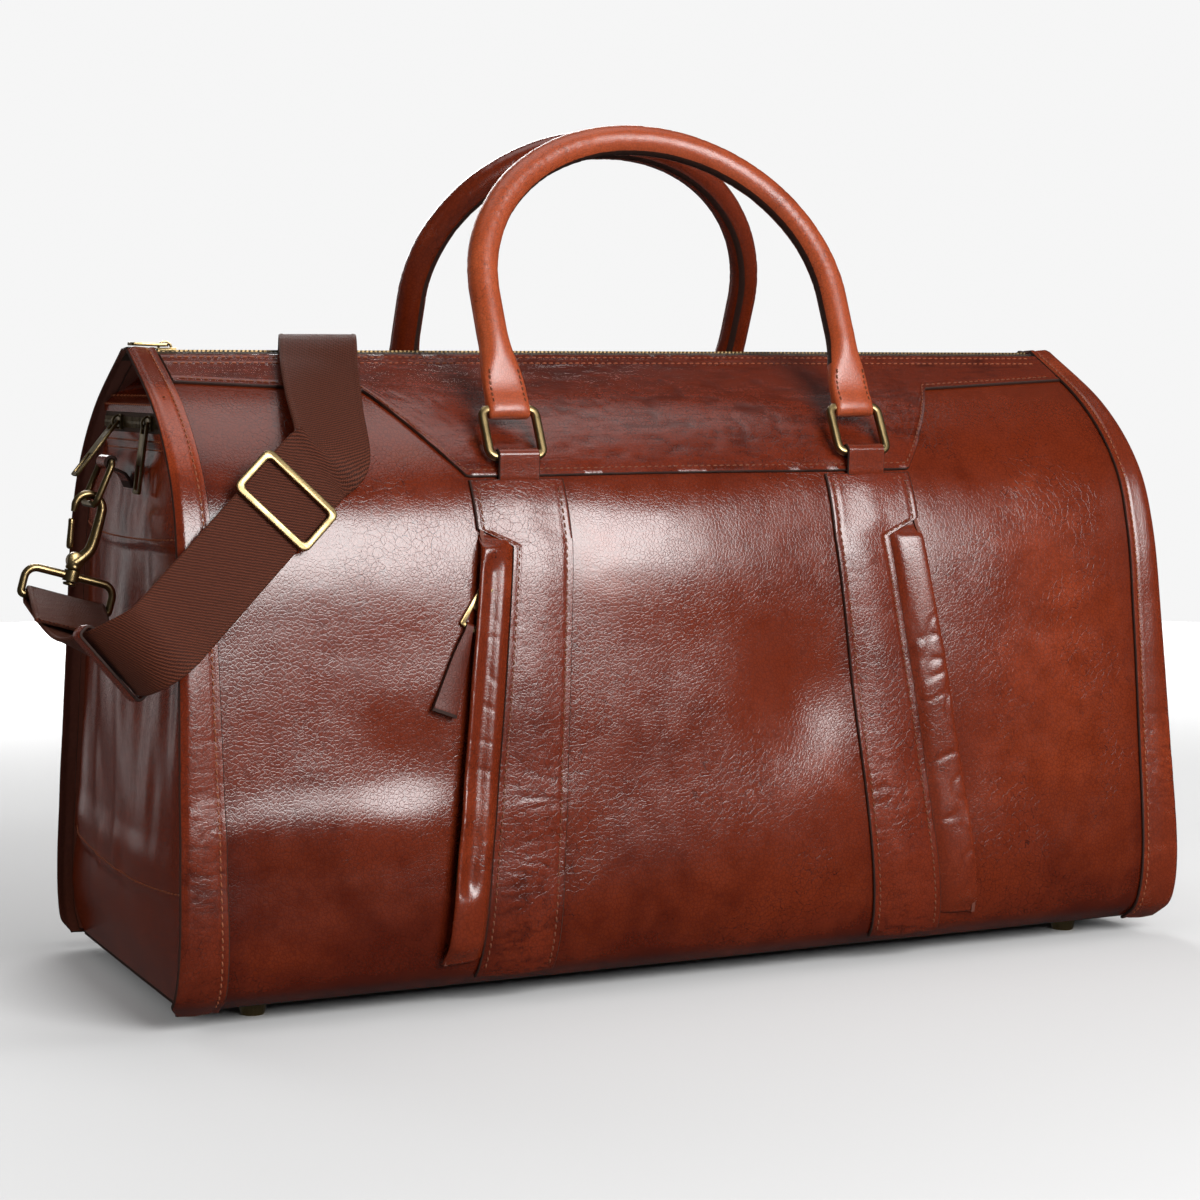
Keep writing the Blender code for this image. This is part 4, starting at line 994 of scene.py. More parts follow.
def zip_teeth(name, length, matrix, nodes, tape=TAPE, past=0.0):
    """Two interlocked rows of teeth, each with a rounded head, and the tapes they are on."""
    verts, faces = [], []
    for side in (-1, 1):
        for x in np.arange(-length / 2 + TOOTH_PITCH, length / 2 - TOOTH_PITCH, TOOTH_PITCH):
            x = x + (TOOTH_PITCH / 2 if side > 0 else 0)
            made = tube_faces(len(TOOTH_LEVELS), 2 * len(TOOTH), len(verts))
            faces += made if side > 0 else [face[::-1] for face in made]
            for z, share in TOOTH_LEVELS:
                ring = [(y, w * share * 0.72) for y, w in TOOTH]
                ring += [(y, -w) for y, w in ring[::-1]]
                verts += [(x + w, side * y, z) for y, w in ring]
    mesh = mesh_of(verts, faces)
    mesh.flip_normals()
    mesh.transform(matrix)
    shown(name + "_teeth", mesh, ["teeth"], "root", nodes, 45)
    tapes = []
    for side in (-1, 1):
        x = np.linspace(-length / 2 - past, length / 2 + past, 60)
        y, lift = np.array(tape).T
        points = np.stack(np.broadcast_arrays(x[:, None], side * y[None, :], lift[None, :]), axis=-1)
        up = np.tile((0, 0, 1.0), (*points.shape[:2], 1))
        tapes.append(slab_mesh(points, up, 0.0006, edge_slot=0))
    mesh = joined(*tapes)
    mesh.transform(matrix)
    shown(name + "_tapes", mesh, ["tape"])


SLIDER_PLAN = [(-0.0047, -0.0024), (-0.0020, -0.0027), (0.0012, -0.0037), (0.0047, -0.0037)]
SLIDER_PLAN += [(x, -y) for x, y in SLIDER_PLAN[::-1]]
SLIDER_WALL = ((-0.0035, 0.0027), (0.0012, 0.0036), (0.0045, 0.0036))
SLIDER_WALL += ((0.0045, 0.0031), (0.0012, 0.0031), (-0.0035, 0.0022))


def slider_look(node, matrix, turn):
    """Two plates, their walls and neck, and the bridge that the pull hangs on."""
    parts = []
    for z in (SLIDER_TOP + PLATE / 2, -SLIDER_TOP - PLATE / 2):
        parts.append(flat_piece([SLIDER_PLAN], PLATE / 2, 0.0002, Matrix.Translation((0, 0, z))))
    for side in (-1, 1):
        wall = [(x, side * (y - 0.0003)) for x, y in SLIDER_WALL]
        parts.append(flat_piece([wall], 0.0005, 0.0001, Matrix.Translation((0, 0, 0.0010))))
    neck = rounded(0.0030, 0.0005, 0.0002, 2)
    parts.append(flat_piece([neck], 0.0014, 0.0001, Matrix.Translation((0.003, 0, 0))))
    span = [(x, 0, z) for x, z in arc((0, BRIDGE_Z), BRIDGE_RADIUS, 186, -6, 16)]
    bridge = sweep(span, rounded(0.0024, 0.0010, 0.0004, 2), across=(0, 1, 0))
    bridge.transform(turned(turn, "Z"))
    mesh = joined(*parts, bridge)
    mesh.transform(matrix)
    stand_in(node, mesh, ["brass"], node)


def pull_place(matrix, turn, lift):
    return matrix @ Matrix.Translation((0, 0, EYE_Z)) @ turned(turn, "Z") @ turned(-lift, "Y")


def pull_look(node, matrix, turn, lift, length, tail=0.0080):
    """A flat pull with an eye for the bridge and a window in its tail."""
    eye = EYE_BAR - EYE_BACK + EYE_WINDOW / 2
    tip = length - EYE_BACK - 0.0018 - tail / 2
    inside = PULL_WIDTH * 0.56
    boxes = ((length / 2 - EYE_BACK, length, PULL_WIDTH, 0.0012), (eye, EYE_WINDOW, inside, 0.0006))
    boxes += ((tip, tail, inside, 0.0006),)
    outlines = [[(x + a, b) for a, b in rounded(*size, 3)] for x, *size in boxes]
    mesh = flat_piece(outlines, 0.00075, 0.00022, pull_place(matrix, turn, lift))
    stand_in(node, mesh, ["brass"], node)


def make_main_zip():
    place = Matrix.Translation((0, 0, MAIN_ZIP_Z))
    zip_teeth("main_zip", 2 * ZIP_END, place, ["front_zip_half", "back_zip_half"], RIDGE_TAPE, 0.010)
    place = Matrix.Translation((-ZIP_END + 0.008, 0, MAIN_ZIP_Z))
    slider_look("main_slider", place, 0)
    pull_look("main_pull", place, 180, 2, 0.018)


def make_end_zip():
    middle = Matrix.Translation((-END_ZIP_X, 0, END_ZIP_Z)) @ axes((0, -1, 0), (0, 0, 1), (-1, 0, 0))
    zip_teeth("end_zip", 0.100, middle, ["end_zip"])
    for name, y, lift in (("end_back", 0.018, 39), ("end_front", -0.036, 8)):
        place = middle @ Matrix.Translation((-y, 0, 0))
        slider_look(f"{name}_slider", place, 90)
        pull_look(f"{name}_pull", place, -90, lift, 0.034, 0.0115)


def pocket_frame():
    ends = []
    for height in (POCKET_TOP, POCKET_FOOT):
        x = float(splay(PLACKET_OUTER, height)) - POCKET_EDGE
        ends.append(plain(-x, height, -0.0008))
    along = (ends[1] - ends[0]).normalized()
    out = outward(0.13)
    out = (out - along * out.dot(along)).normalized()
    turn = axes(along, out.cross(along), out)
    return Matrix.Translation((ends[0] + ends[1]) / 2) @ turn, (ends[1] - ends[0]).length


PULLER = [  # distance down the puller, half its thickness, half its width
    (0.0425, 0.0016, 0.0064), (0.036, 0.0012, 0.0058), (0.022, 0.0012, 0.0046),
    (0.013, 0.0015, 0.0038), (0.006, 0.0018, 0.0026), (0.0015, 0.0021, 0.0020),
]


def make_pocket_zip():
    place, length = pocket_frame()
    zip_teeth("pocket_zip", length, place, ["pocket_zip"])
    place = place @ Matrix.Translation((-length / 2 + 0.0095, 0, 0))
    slider_look("pocket_slider", place, 0)
    pull_look("pocket_pull", place, -PULLER_TURN, PULLER_LIFT, POCKET_PULL)
    hanger = pull_place(place, -PULLER_TURN, PULLER_LIFT)
    hanger = hanger @ Matrix.Translation((POCKET_PULL - EYE_BACK - 0.0009, 0, 0)) @ turned(14, "Z")
    path = PULLER + [(x, 0.9 * z, 0.0019) for x, z in arc((0, 0), 0.0022, 110, 250, 6)]
    path = through(path + [(x, -z, half) for x, z, half in PULLER[::-1]], 4)
    share = (spaced(2.0, 0.16, 0.05) - 1.0)[None, :]
    x, z, half = (path[:, k][:, None] for k in range(3))
    crown = 0.0005 * (1 - share**2) * np.sign(z) * smooth(x / 0.01)
    local = np.stack(np.broadcast_arrays(x, half * share, z + crown), axis=-1)
    turn = np.array(hanger.to_3x3()).T
    back = np.gradient(local, axis=0)
    out = unit(np.stack([-back[..., 2], 0 * back[..., 0], back[..., 0]], axis=-1))
    out = (np.sign(out[0, 0, 2]) or 1.0) * out
    mesh = slab_mesh(local @ turn + np.array(hanger.translation), out @ turn, 0.0011, back_slot=0)
    stand_in("pocket_puller", mesh, ["puller", "edge"], "pocket_pull")


# Carrying handles on their rings.

HANDLE_X, HANDLE_RISE, BOW_HALF, BOW_FOOT, BOW_STEPS = 0.095, 0.152, 0.0965, 0.062, 230
HANDLE_TUBE, LEG_BENDS = 0.0075, (0.010, 0.040)
HANDLE_LEAN, RING_LEAN = math.radians(24), math.radians(27)
RING_WIDTH, RING_HEIGHT, RING_AT, RING_OFF = 0.0275, 0.0245, 0.2545, 0.0060
LOOP_WIDTH = 0.0210
LOOP_FOOT = ((0.2446, 0.0010), (0.2466, 0.0030), (0.2490, 0.0050))


def ring_axis(side):
    return plain(0, RING_AT, RING_OFF, side)


def leaning(side, angle):
    return Vector((0, -side * math.sin(angle), math.cos(angle)))


def make_ring(face, side, end, x):
    up = leaning(side, RING_LEAN)
    middle = ring_axis(side) + Vector((x, 0, 0)) + up * RING_HEIGHT / 2
    outline = rounded(RING_WIDTH, RING_HEIGHT, 0.0036, 6)
    line = [middle + Vector((a, 0, 0)) + up * b for a, b in outline]
    facing = up.cross(Vector((1, 0, 0)))
    mesh = sweep(line, rounded(0.0040, 0.0042, 0.0014, 3), closed=True, across=facing)
    stand_in(f"{face}_{end}_ring", mesh, ["brass"], f"{face}_rings", 35)


def tab_mesh(line, across, width, out):
    """A short strip of leather along a line, its outer face towards out at its start."""
    normals = np.cross(unit(np.gradient(line, axis=0)), across)
    if normals[0] @ np.array(out) < 0:
        normals = -normals
    share = (spaced(width, 0.0012) - width / 2)[None, :, None]
    grid = line[:, None, :] + share * np.array(across, float)
    return slab_mesh(grid, normals[:, None, :] + 0 * grid, OVERLAY)


def make_ring_loop(face, side, end, x):
    axis, out = ring_axis(side), outward(RING_AT, side)
    slope = Vector((0, -side * out.z, abs(out.y)))
    path = [plain(0, height, lift, side) for height, lift in LOOP_FOOT]
    path += [axis + out * a + slope * b for a, b in arc((0, 0), 0.0020 + SEAT, -36, 215, 26)]
    mesh = tab_mesh(through(path, 2) + (x, 0, 0), (1, 0, 0), LOOP_WIDTH, out)
    stand_in(f"{face}_{end}_ring_loop", mesh, ["trim", "edge"])


def superellipse(power):
    turn = (np.arange(HANDLE_SIDES) + 0.5) * 2 * math.pi / HANDLE_SIDES
    c, s = np.cos(turn), np.sin(turn)
    return np.stack([np.sign(c) * np.abs(c) ** (2 / power), np.sign(s) * np.abs(s) ** (2 / power)], axis=1)


HANDLE_FOOT = [  # rise, half thickness, half width
    (-0.0046, 0.0008, 0.0096),
    (-0.0040, 0.0026, 0.0103),
    (-0.0022, 0.0040, 0.0106),
    (0.0004, 0.0045, 0.0106),
    (0.0040, 0.0042, 0.0106),
    (0.0085, 0.0035, 0.0105),
    (0.0140, 0.0037, 0.0103),
    (0.0200, 0.0050, 0.0097),
    (0.0270, 0.0065, 0.0087),
    (0.0350, 0.0074, 0.0077),
    (0.0440, 0.0075, 0.0075),
]
SEAM_HALF = 14  # half the angle that a handle's dark seam takes up round it


def make_handle(face, side):
    """Flat tabs on the rings that close into a tube, with a bow between them."""
    up = np.array(leaning(side, HANDLE_LEAN))
    foot = np.array(ring_axis(side) + leaning(side, RING_LEAN) * RING_HEIGHT)
    aside = np.array((1.0, 0, 0))
    facing = np.cross(up, aside)
    top = HANDLE_RISE - 0.0035 - BOW_FOOT
    feet = through(HANDLE_FOOT, 4)
    rise = feet[:, 0]
    leg_x = np.interp(rise, LEG_BENDS, (HANDLE_X, BOW_HALF))
    angles = np.linspace(0, math.pi, BOW_STEPS)
    bow = [(-BOW_HALF * math.cos(a), BOW_FOOT + top * math.sin(a)) for a in angles]
    flat = np.array([*zip(-leg_x, rise), *bow, *zip(leg_x[::-1], rise[::-1])])
    line = foot + flat[:, :1] * aside + flat[:, 1:] * up
    sizes = np.array([*feet[:, 1:], *[(HANDLE_TUBE, HANDLE_TUBE)] * len(bow), *feet[::-1, 1:]])
    run = travel(line)
    round_part = smooth((flat[:, 1] - 0.03) / 0.03)[:, None]
    power = 2 + 2.2 * smooth((0.030 - flat[:, 1]) / 0.022)
    sections = np.array([superellipse(p) for p in power]) * sizes[:, None, :]
    around = np.arange(HANDLE_SIDES) * 2 * math.pi / HANDLE_SIDES
    wave = field(run[:, None] / 0.0030, 1.3 * np.sin(around)[None, :], 151 + side)
    creased = 1 - 2.2 * smooth(1 - np.abs(wave) / 0.35)
    slack = 0.009 * creased + 0.012 * field(run / 0.019, 0 * run, 153)[:, None]
    sections = sections * (1 + slack * round_part)[:, :, None]
    top_at = len(line) // 2
    inward = np.cross(facing, np.gradient(line, axis=0)[top_at]) @ (foot - line[top_at]) > 0
    aim = math.atan2(1.0 if inward else -1.0, 0.0 if side < 0 else -1.7)
    off = (np.arange(HANDLE_SIDES) + 1.0) * 2 * math.pi / HANDLE_SIDES - aim
    seam = np.flatnonzero(np.cos(off) > math.cos(math.radians(SEAM_HALF)))
    kinds = np.zeros((len(line) - 1, HANDLE_SIDES), np.int32)
    kinds[np.ix_(flat[:-1, 1] > 0.024, seam)] = 1
    name = f"{face}_handle"
    mesh = sweep(line, sections, across=facing, slots=kinds)
    # The front handle gets the lighter handle leather, which is painted light; the back one keeps the trim
    # leather.
    stand_in(name, mesh, ["handle" if side < 0 else "trim", "edge"], name, 60)
    heights = np.linspace(0.0015, 0.0225, 30)
    thick, wide = (np.interp(heights, rise, feet[:, k]) for k in (1, 2))
    rows = []
    for leg, edge, look in product((-1, 1), repeat=3):
        middle = leg * np.interp(heights, LEG_BENDS, (HANDLE_X, BOW_HALF))
        points = foot + (middle + edge * (wide - 0.0024))[:, None] * aside
        points = points + heights[:, None] * up + look * (0.93 * thick)[:, None] * facing
        rows.append((points, np.tile(look * facing, (len(points), 1))))
    sew(name, rows, "trim_leather", "dark_thread", name, pitch=0.0030, long=0.0022)


def make_handles():
    for face, side in FACES:
        for end, way in ENDS:
            make_ring(face, side, end, way * HANDLE_X)
            make_ring_loop(face, side, end, way * HANDLE_X)
        make_handle(face, side)


# The shoulder strap's fittings at the left end. The right end is the same, turned half round.

D_BAR = 0.0017
D_TOP = Vector((-0.2735, -0.0100, 0.2555))
D_DROP = Vector((-math.sin(math.radians(24)), 0, -math.cos(math.radians(24))))
D_LENGTH, D_WIDTH, TAB_WIDTH = 0.0215, 0.0235, 0.0160
SWIVEL = Vector((-0.2920, -0.0120, 0.2020))
HOOK_UP = (D_TOP + D_DROP * D_LENGTH - SWIVEL).normalized()
LOOP_ALONG = Vector((0.958, -0.050, -0.282))
LOOP_ALONG = (LOOP_ALONG - HOOK_UP * LOOP_ALONG.dot(HOOK_UP)).normalized()
HOOK_FLAT = Vector((0, 1, 0))
HOOK_FLAT = (HOOK_FLAT - HOOK_UP * HOOK_FLAT.dot(HOOK_UP)).normalized()
HOOK_OUT = HOOK_UP.cross(HOOK_FLAT)
SWIVEL_WIRE, SWIVEL_WIDTH, SWIVEL_DROP = 0.0019, 0.0426, 0.0135
GATE_FOOT, GATE_TIP = (0.0041, 0.0122), (0.0066, 0.0266)
TURNS = {"left": Matrix(), "right": Matrix.Rotation(math.pi, 4, "Z")}


def hook_point(out, up):
    return SWIVEL + HOOK_OUT * out + HOOK_UP * up


def fitting(end, node, mesh, body, kinds=("brass",)):
    mesh.transform(TURNS[end])
    stand_in(f"{end}_{node}", mesh, kinds, body)


def make_ring_tab(end):
    path = [(-0.2643, 0.2430), (-0.2664 - 0.0006, 0.2495)]
    path += [(D_TOP.x - a, D_TOP.z + b) for a, b in arc((0, 0), D_BAR + SEAT, -60, 160, 24)]
    line = through([(x, D_TOP.y, z) for x, z in path], 2)
    mesh = tab_mesh(line, (0, 1, 0), TAB_WIDTH, (-1, 0, 0))
    fitting(end, "ring_tab", mesh, "root", ("trim", "edge"))


def make_d_ring(end):
    middle = D_TOP + D_DROP * D_LENGTH / 2
    outline = rounded(D_WIDTH, D_LENGTH, 0.0032, 6)
    line = [middle + Vector((0, a, 0)) - D_DROP * b for a, b in outline]
    across = D_DROP.cross(Vector((0, 1, 0)))
    mesh = sweep(line, circle(0.95 * D_BAR), closed=True, across=across)
    fitting(end, "d_ring", mesh, f"{end}_d_ring")


def make_hook(end):
    bend = 0.0066
    line = [(0.0000, 0.0062), (-0.0030, 0.0098), (-0.0056, 0.0140), (-0.0064, 0.0200), (-bend, 0.0260)]
    line += [(-x, y) for x, y in arc((0, 0.0331), bend, 0, 180, 12)]
    line += [(bend, 0.0298)]
    points = through([tuple(hook_point(out, up)) for out, up in line], 3)
    reach = np.linspace(0, 1, len(points))
    size = np.interp(reach, (0, 0.12, 0.5, 0.94, 1), (0.0032, 0.0028, 0.0020, 0.0018, 0.0012))
    bow = sweep(points, circle(1.0), across=HOOK_FLAT, sizes=size[:, None])
    drum = [(0, -0.0025), (0.0036, -0.0025), (0.0041, -0.0021), (0.0041, 0.0021), (0.0036, 0.0025)]
    drum += [(0.0016, 0.0025), (0.0013, 0.0030), (0, 0.0031)]
    base = turned_mesh(drum, hook_point(0, 0.0075), HOOK_OUT.cross(HOOK_UP))
    post = [(0.0026, -0.0046), (0.0031, -0.0042), (0.0031, -0.0034), (0.0018, -0.0030), (0.0018, 0.0026)]
    post += [(0.0034, 0.0030), (0.0038, 0.0038), (0.0036, 0.0050), (0.0026, 0.0062)]
    stem = turned_mesh(post, SWIVEL, HOOK_UP)
    fitting(end, "hook", joined(bow, base, stem), f"{end}_hook")
    a, b = hook_point(*GATE_FOOT), hook_point(*GATE_TIP)
    spots = [a.lerp(b, t) for t in (0, 0.03, 0.08, 0.2, 0.5, 0.8, 0.94, 0.98, 1.0)]
    size = np.array([0.0006, 0.0012, 0.0015, 0.0016, 0.0015, 0.0014, 0.0015, 0.0012, 0.0006])
    fitting(end, "gate", sweep(spots, circle(1.0, 10), sizes=size[:, None]), f"{end}_gate")


def make_swivel_loop(end):
    middle, aside = SWIVEL - HOOK_UP * SWIVEL_DROP / 2, HOOK_UP.cross(LOOP_ALONG)
    half, top, wide, tight = SWIVEL_WIDTH / 2, SWIVEL_DROP / 2, 0.0056, 0.0016
    outline = arc((half - wide, top - wide), wide, 0, 90, 8)
    outline += arc((-half + wide, top - wide), wide, 90, 180, 8)
    outline += arc((-half + tight, -top + tight), tight, 180, 270, 4)
    outline += arc((half - tight, -top + tight), tight, 270, 360, 4)
    line = [middle + LOOP_ALONG * a + HOOK_UP * b for a, b in outline]
    loop = sweep(line, circle(SWIVEL_WIRE), closed=True, across=aside)
    ring = [(0.0022, -0.0026), (0.0034, -0.0026), (0.0039, -0.0021), (0.0036, 0), (0.0039, 0.0021)]
    ring += [(0.0034, 0.0026), (0.0022, 0.0026), (0.0021, 0)]
    round_stem = [SWIVEL + (LOOP_ALONG * c + aside * s) * 0.0030 for c, s in circle(1.0, 24)]
    collar = sweep(round_stem, [(h, r - 0.0030) for r, h in ring], closed=True, across=HOOK_UP)
    mesh = joined(loop, collar)
    mesh.transform(TURNS[end])
    shown(f"{end}_swivel_look", mesh, ["brass"], "root", [f"{end}_swivel_loop"])


# The shoulder strap. Each stop is a place on its middle line and the way its outer face looks.

WEBBING, FLAP = 0.0016, 0.040
STRAP_FOLD = SWIVEL - HOOK_UP * SWIVEL_DROP
FOLD_RADIUS = SWIVEL_WIRE + 0.0004 + WEBBING / 2
LEAVING = Vector((-0.03, -0.95, -0.31))
LEAVING = (LEAVING - LOOP_ALONG * LEAVING.dot(LOOP_ALONG)).normalized()
UNDER = LOOP_ALONG.cross(LEAVING)
STRAIGHT = (plain(-0.2660, 0.1900, 0.0105), plain(-0.1985, 0.2490, 0.0082))
STRAIGHT_HEIGHT = 0.2200  # where the straight stretch faces as the skin does
SLIDE_AT, BACK_OUT, RIDGE_FACES_UP = 0.77, 0.1250, 0.2900
SLIDE_OUTSIDE, SLIDE_INSIDE = (0.0448, 0.0265, 0.0040), (0.0376, 0.0192, 0.0022)
SLIDE_END = STRAIGHT[0].lerp(STRAIGHT[1], 1.15)


OVER = (  # the strap's way over the ridge: place along X, height, distance off the skin, side
    (-0.1820, 0.2800, 0.0065, -1),
    (-0.1750, 0.2960, 0.0070, -1),
    (-0.1560, 0.2960, 0.0070, 1),
    (-0.1500, 0.2780, 0.0065, 1),
    (-0.1460, 0.2560, 0.0065, 1),
    (-0.1430, 0.2250, 0.0080, 1),
)
HANGING = (  # its hanging loop behind the bag: place along X, and height
    (-0.0950, 0.1080), (-0.0500, 0.0820), (0.0050, 0.0730), (0.0650, 0.0780), (0.1250, 0.0940),
)


def strap_stops():
    """Stops from the left swivel loop to the right one."""
    facing = outward(STRAIGHT_HEIGHT)
    over = []
    for x, height, off, side in OVER:
        near_ridge = height > RIDGE_FACES_UP
        way = (0, 0.35 * side, 0.94) if near_ridge else outward(height, side)
        over.append((plain(x, height, off, side), way))
    over.insert(2, ((-0.1650, 0.0000, 0.3158), (0, 0, 1)))
    return [
        ((-0.2968, -0.0450, 0.1762), (-0.33, 0.10, -0.94)),
        ((-0.2968, -0.0720, 0.1700), (-0.45, -0.20, -0.87)),
        ((-0.2950, -0.0960, 0.1690), (-0.62, -0.55, -0.56)),
        ((-0.2890, -0.1120, 0.1735), (-0.55, -0.80, -0.22)),
        ((-0.2790, -0.1190, 0.1805), (-0.25, -0.96, 0.10)),
        *[(STRAIGHT[0].lerp(STRAIGHT[1], t), facing) for t in (0.0, 0.35, 0.7, 1.0, 1.15)],
        *over,
        ((-0.1370, 0.1180, 0.1850), (0, 1, 0)),
        ((-0.1230, 0.1240, 0.1450), (0, 1, 0)),
        *[((x, BACK_OUT, z), (0, 1, 0)) for x, z in HANGING],
        ((0.1850, BACK_OUT, 0.1180), (0.05, 1, -0.05)),
        ((0.2350, BACK_OUT, 0.1380), (0.10, 0.99, -0.05)),
        ((0.2640, 0.1225, 0.1500), (0.30, 0.94, -0.15)),
        ((0.2850, 0.1110, 0.1600), (0.62, 0.70, -0.35)),
        ((0.2940, 0.0900, 0.1660), (0.62, 0.40, -0.65)),
        ((0.2960, 0.0680, 0.1712), (0.45, 0.05, -0.88)),
        ((0.2968, 0.0450, 0.1762), (0.33, -0.10, -0.94)),
    ]


def fold(end):
    """The turn round a swivel loop, from the flap's end to the stretch that leaves it."""
    stops = []
    for t in (1.0, 0.7, 0.4):
        stops.append((STRAP_FOLD + LEAVING * FLAP * t - UNDER * 0.0031, -UNDER))
    for a, b in arc((0, 0), FOLD_RADIUS, 100, 260, 8):
        out = LEAVING * a - UNDER * b
        stops.append((STRAP_FOLD + out, out))
    if end == "left":
        return stops
    half = TURNS["right"]
    return [(half @ Vector(p), half @ Vector(n)) for p, n in reversed(stops)]


def strap_line(steps):
    """Points down the whole strap's middle, and the directions across it and along it."""
    start, finish = fold("left"), fold("right")
    stops = [start[-1], *strap_stops(), finish[0]]
    places, facings = [], []
    for part, count in ((start, 3), (stops, steps), (finish, 3)):
        place = through([tuple(p) for p, _ in part], count)
        facing = through([tuple(Vector(n).normalized()) for _, n in part], count)
        places.append(place if not places else place[1:])
        facings.append(facing if not facings else facing[1:])
    place, facing = np.vstack(places), unit(np.vstack(facings))
    along = unit(np.gradient(place, axis=0))
    across = unit(np.cross(along, facing))
    reach = 4 + 3 * steps
    if steps > 4:
        kernel = np.hanning(2 * reach + 1)
        wide = np.vstack([across[:1].repeat(reach, 0), across, across[-1:].repeat(reach, 0)])
        soft = np.stack([np.convolve(wide[:, k], kernel / kernel.sum(), "valid") for k in range(3)], axis=1)
        near = smooth((0.11 - np.linalg.norm(place - np.array(SLIDE_END), axis=1)) / 0.04)[:, None]
        across = unit(across * (1 - near) + soft * near)
    return place, across, along


STRAP_EDGE = [(0.0190, 0.0), (0.0189, 0.0005), (0.0182, 0.00095), (0.0172, 0.0010), (0.0163, 0.0007)]
STRAP_EDGE += [(0.0150, 0.00075), (0.0100, 0.00078), (0.0050, 0.0008), (0.0, 0.0008)]


def make_strap():
    place, across, _ = strap_line(8)
    top = STRAP_EDGE + [(-a, b) for a, b in STRAP_EDGE[-2::-1]]
    section = top + [(a, -b) for a, b in top[-2:0:-1]]
    mesh = sweep(place, section, across=across)
    shown("strap_webbing", mesh, ["webbing"], "root", ["shoulder_strap"], 60)


def make_strap_slide():
    along = (STRAIGHT[1] - STRAIGHT[0]).normalized()
    across = along.cross(outward(STRAIGHT_HEIGHT)).normalized()
    out = across.cross(along)
    place = Matrix.Translation(STRAIGHT[0].lerp(STRAIGHT[1], SLIDE_AT)) @ axes(across, along, out)
    lift = WEBBING / 2 + GAP + 0.0013
    low = WEBBING / 2 + GAP + 0.0011
    outlines = [rounded(*SLIDE_OUTSIDE, 6), rounded(*SLIDE_INSIDE, 6)]
    face = flat_piece(outlines, 0.0014, 0.0009, Matrix.Translation((0, 0, lift)))
    end = [(0.0205, 0, lift - 0.0004), (0.0209, 0, lift - 0.0014), (0.0206, 0, 0.0002), (0.0196, 0, -low)]
    line = [(-x, y, z) for x, y, z in end]
    line += [(x, 0, -low) for x in np.linspace(-0.018, 0.018, 9)] + end[::-1]
    bar = sweep(line, rounded(0.0028, 0.0020, 0.0007, 3), across=(0, 1, 0))
    mesh = joined(face, bar)
    mesh.transform(place)
    stand_in("strap_slide", mesh, ["brass"], "strap_slide")


KEEPER_GOALS = (("left", (-0.2950, -0.0960, 0.169)), ("right", (0.2960, 0.0840, 0.169)))
KEEPER_BAND, KEEPER_SIZE = (0.0080, 0.0014), (0.0416, 0.0066)


def make_keepers():
    place, across, along = strap_line(2)
    line = np.array([(x, 0, z) for x, z in rounded(*KEEPER_SIZE, 0.0022, 5)])
    band = np.array(rounded(*KEEPER_BAND, 0.0004, 2))
    rim = np.abs(band + np.roll(band, -1, axis=0))[:, 0] / 2 > 0.0037
    kinds = np.broadcast_to(rim.astype(np.int32), (len(line), len(band)))
    for end, goal in KEEPER_GOALS:
        k = int(np.argmin(np.linalg.norm(place - np.array(goal), axis=1)))
        p, a, b = (Vector(v[k]) for v in (place, across, along))
        mesh = sweep(line, band, closed=True, across=(0, 1, 0), slots=kinds)
        mesh.transform(Matrix.Translation(p) @ axes(a, b, a.cross(b)))
        stand_in(f"{end}_keeper", mesh, ["trim", "edge"])


def make_strap_fittings():
    for end in TURNS:
        make_ring_tab(end)
        make_d_ring(end)
        make_hook(end)
        make_swivel_loop(end)
    make_strap()
    make_strap_slide()
    make_keepers()


# What is kept of the imported model, and the studio.

# The base panel gets the near-black finish: painted shade under the bag.
KEPT = {"lining": "lining", "base_panel": "base_painted_shade", "base_board": "board"}
KEPT.update({f"{face}_{end}_foot": "brass" for face, _, end, _ in CORNERS})


def finish_kept():
    for name, kind in KEPT.items():
        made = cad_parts[name]
        made.data.materials.clear()
        made.data.materials.append(MATERIALS[kind])


def floor():
    turn = np.arange(96) * 2 * math.pi / 96
    rim = [(FLOOR_REACH * math.cos(t), FLOOR_REACH * math.sin(t), 0) for t in turn]
    plate = mesh_of(rim, [tuple(range(96))])
    made = linked("floor", plate)
    tree, shader = node_tree("floor", FLOOR_COLOUR, 0.9)
    n = Nodes(tree)
    away = n.add("ShaderNodeVectorMath", operation="LENGTH")
    n.link(n.place, away.inputs[0])
    far = n.plus(n.span(away.outputs["Value"], 0.7, 1.6), n.times(n.noise(2.0), 0.02))
    n.link(n.mix(far, FLOOR_COLOUR, FLOOR_FAR), shader.inputs["Base Color"])
    shader.inputs["Specular IOR Level"].default_value = 0.1
    plate.materials.append(MATERIALS["floor"])
    made.visible_glossy = False


def soft_box(name, place, target, size, power):
    data = bpy.data.lights.new(name, "AREA")
    data.shape = "RECTANGLE"
    data.size, data.size_y = size
    data.energy = power
    made = linked(name, data)
    made.location = place
    aim = Vector(target) - Vector(place)
    made.rotation_euler = aim.to_track_quat("-Z", "Y").to_euler()
    return made


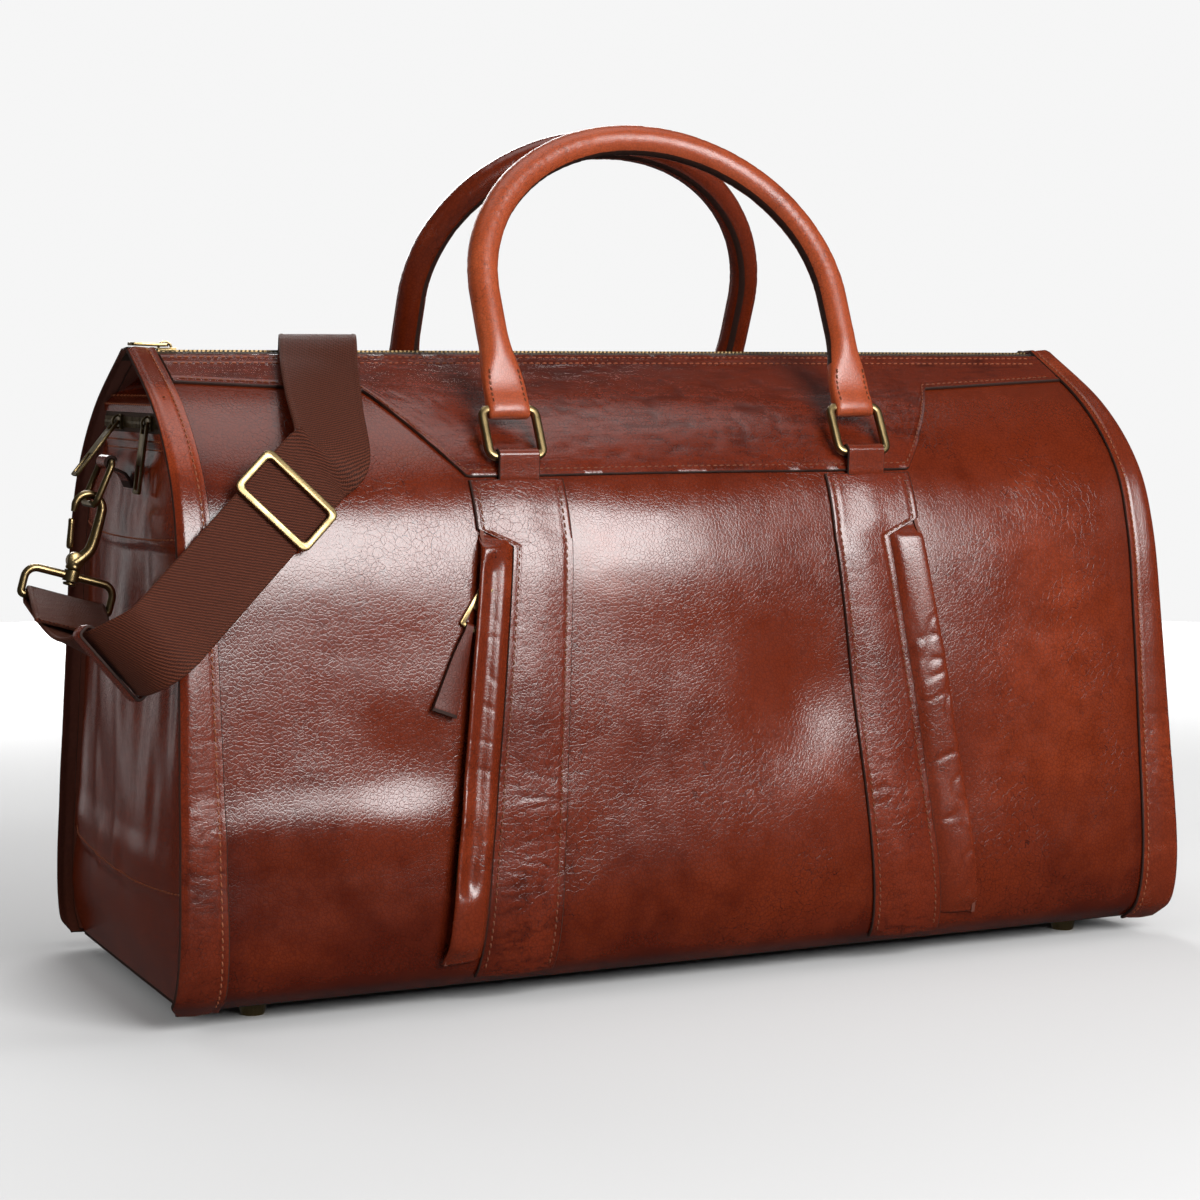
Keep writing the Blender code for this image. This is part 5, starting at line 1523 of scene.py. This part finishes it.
FLOOR_COLOUR, FLOOR_FAR, FLOOR_REACH = (0.52, 0.52, 0.52), (0.9, 0.9, 0.9), 1.9
BACKDROP, FILL = 0.92, 0.05  # the world's strength, as the camera sees it and as a light
LIGHTS = (  # name, place, target, size, power in watts, and the rays that don't see it
    ("key", (0.36, -1.70, 0.98), (0.10, 0, 0.20), (1.10, 1.00), 62, None),
    ("side", (2.2, -0.6, 1.0), (0.1, 0, 0.15), (1.0, 1.2), 22, "glossy"),
    ("top", (0.1, 0.2, 2.2), (0, 0, 0.15), (1.8, 1.2), 12, None),
    ("behind", (-0.2, 2.3, 1.2), (-0.2, 2.0, 0), (3.0, 1.2), 50, "glossy"),
    ("left", (-1.9, -0.5, 0.9), (-0.27, 0, 0.15), (1.0, 1.0), 15, "glossy"),
    ("rear", (0.5, 2.2, 1.1), (0, 0.1, 0.15), (1.3, 1.0), 34, "camera"),
    ("end", (-0.85, 1.6, 0.50), (-0.27, 0, 0.15), (0.26, 1.3), 0.8, "camera"),
)
CAMERA_AT = Vector((-0.5864, -1.2477, 0.2983))
CAMERA_TURN, CAMERA_DOWN, LENS = -24.73, 4.94, 79.4


def studio():
    scene = bpy.context.scene
    world = bpy.data.worlds.new("studio")
    world.use_nodes = True
    n = Nodes(world.node_tree)
    seen = n.add("ShaderNodeLightPath").outputs["Is Camera Ray"]
    back = world.node_tree.nodes["Background"]
    back.inputs["Color"].default_value = (1, 1, 1, 1)
    n.link(n.plus(n.times(seen, BACKDROP - FILL), FILL), back.inputs["Strength"])
    scene.world = world
    scene.view_settings.view_transform = "Standard"
    for *settings, unseen in LIGHTS:
        made = soft_box(*settings)
        if unseen:
            setattr(made, f"visible_{unseen}", False)
    data = bpy.data.cameras.new("camera")
    data.lens = LENS
    data.sensor_width = 36
    made = linked("camera", data)
    made.location = CAMERA_AT
    made.rotation_euler = (math.radians(90 - CAMERA_DOWN), 0, math.radians(CAMERA_TURN))
    scene.camera = made


make_materials()
make_panels()
make_yokes()
make_trims()
make_patches()
make_plackets()
make_gussets()
make_main_zip()
make_end_zip()
make_pocket_zip()
make_handles()
make_strap_fittings()
finish_kept()
floor()
studio()
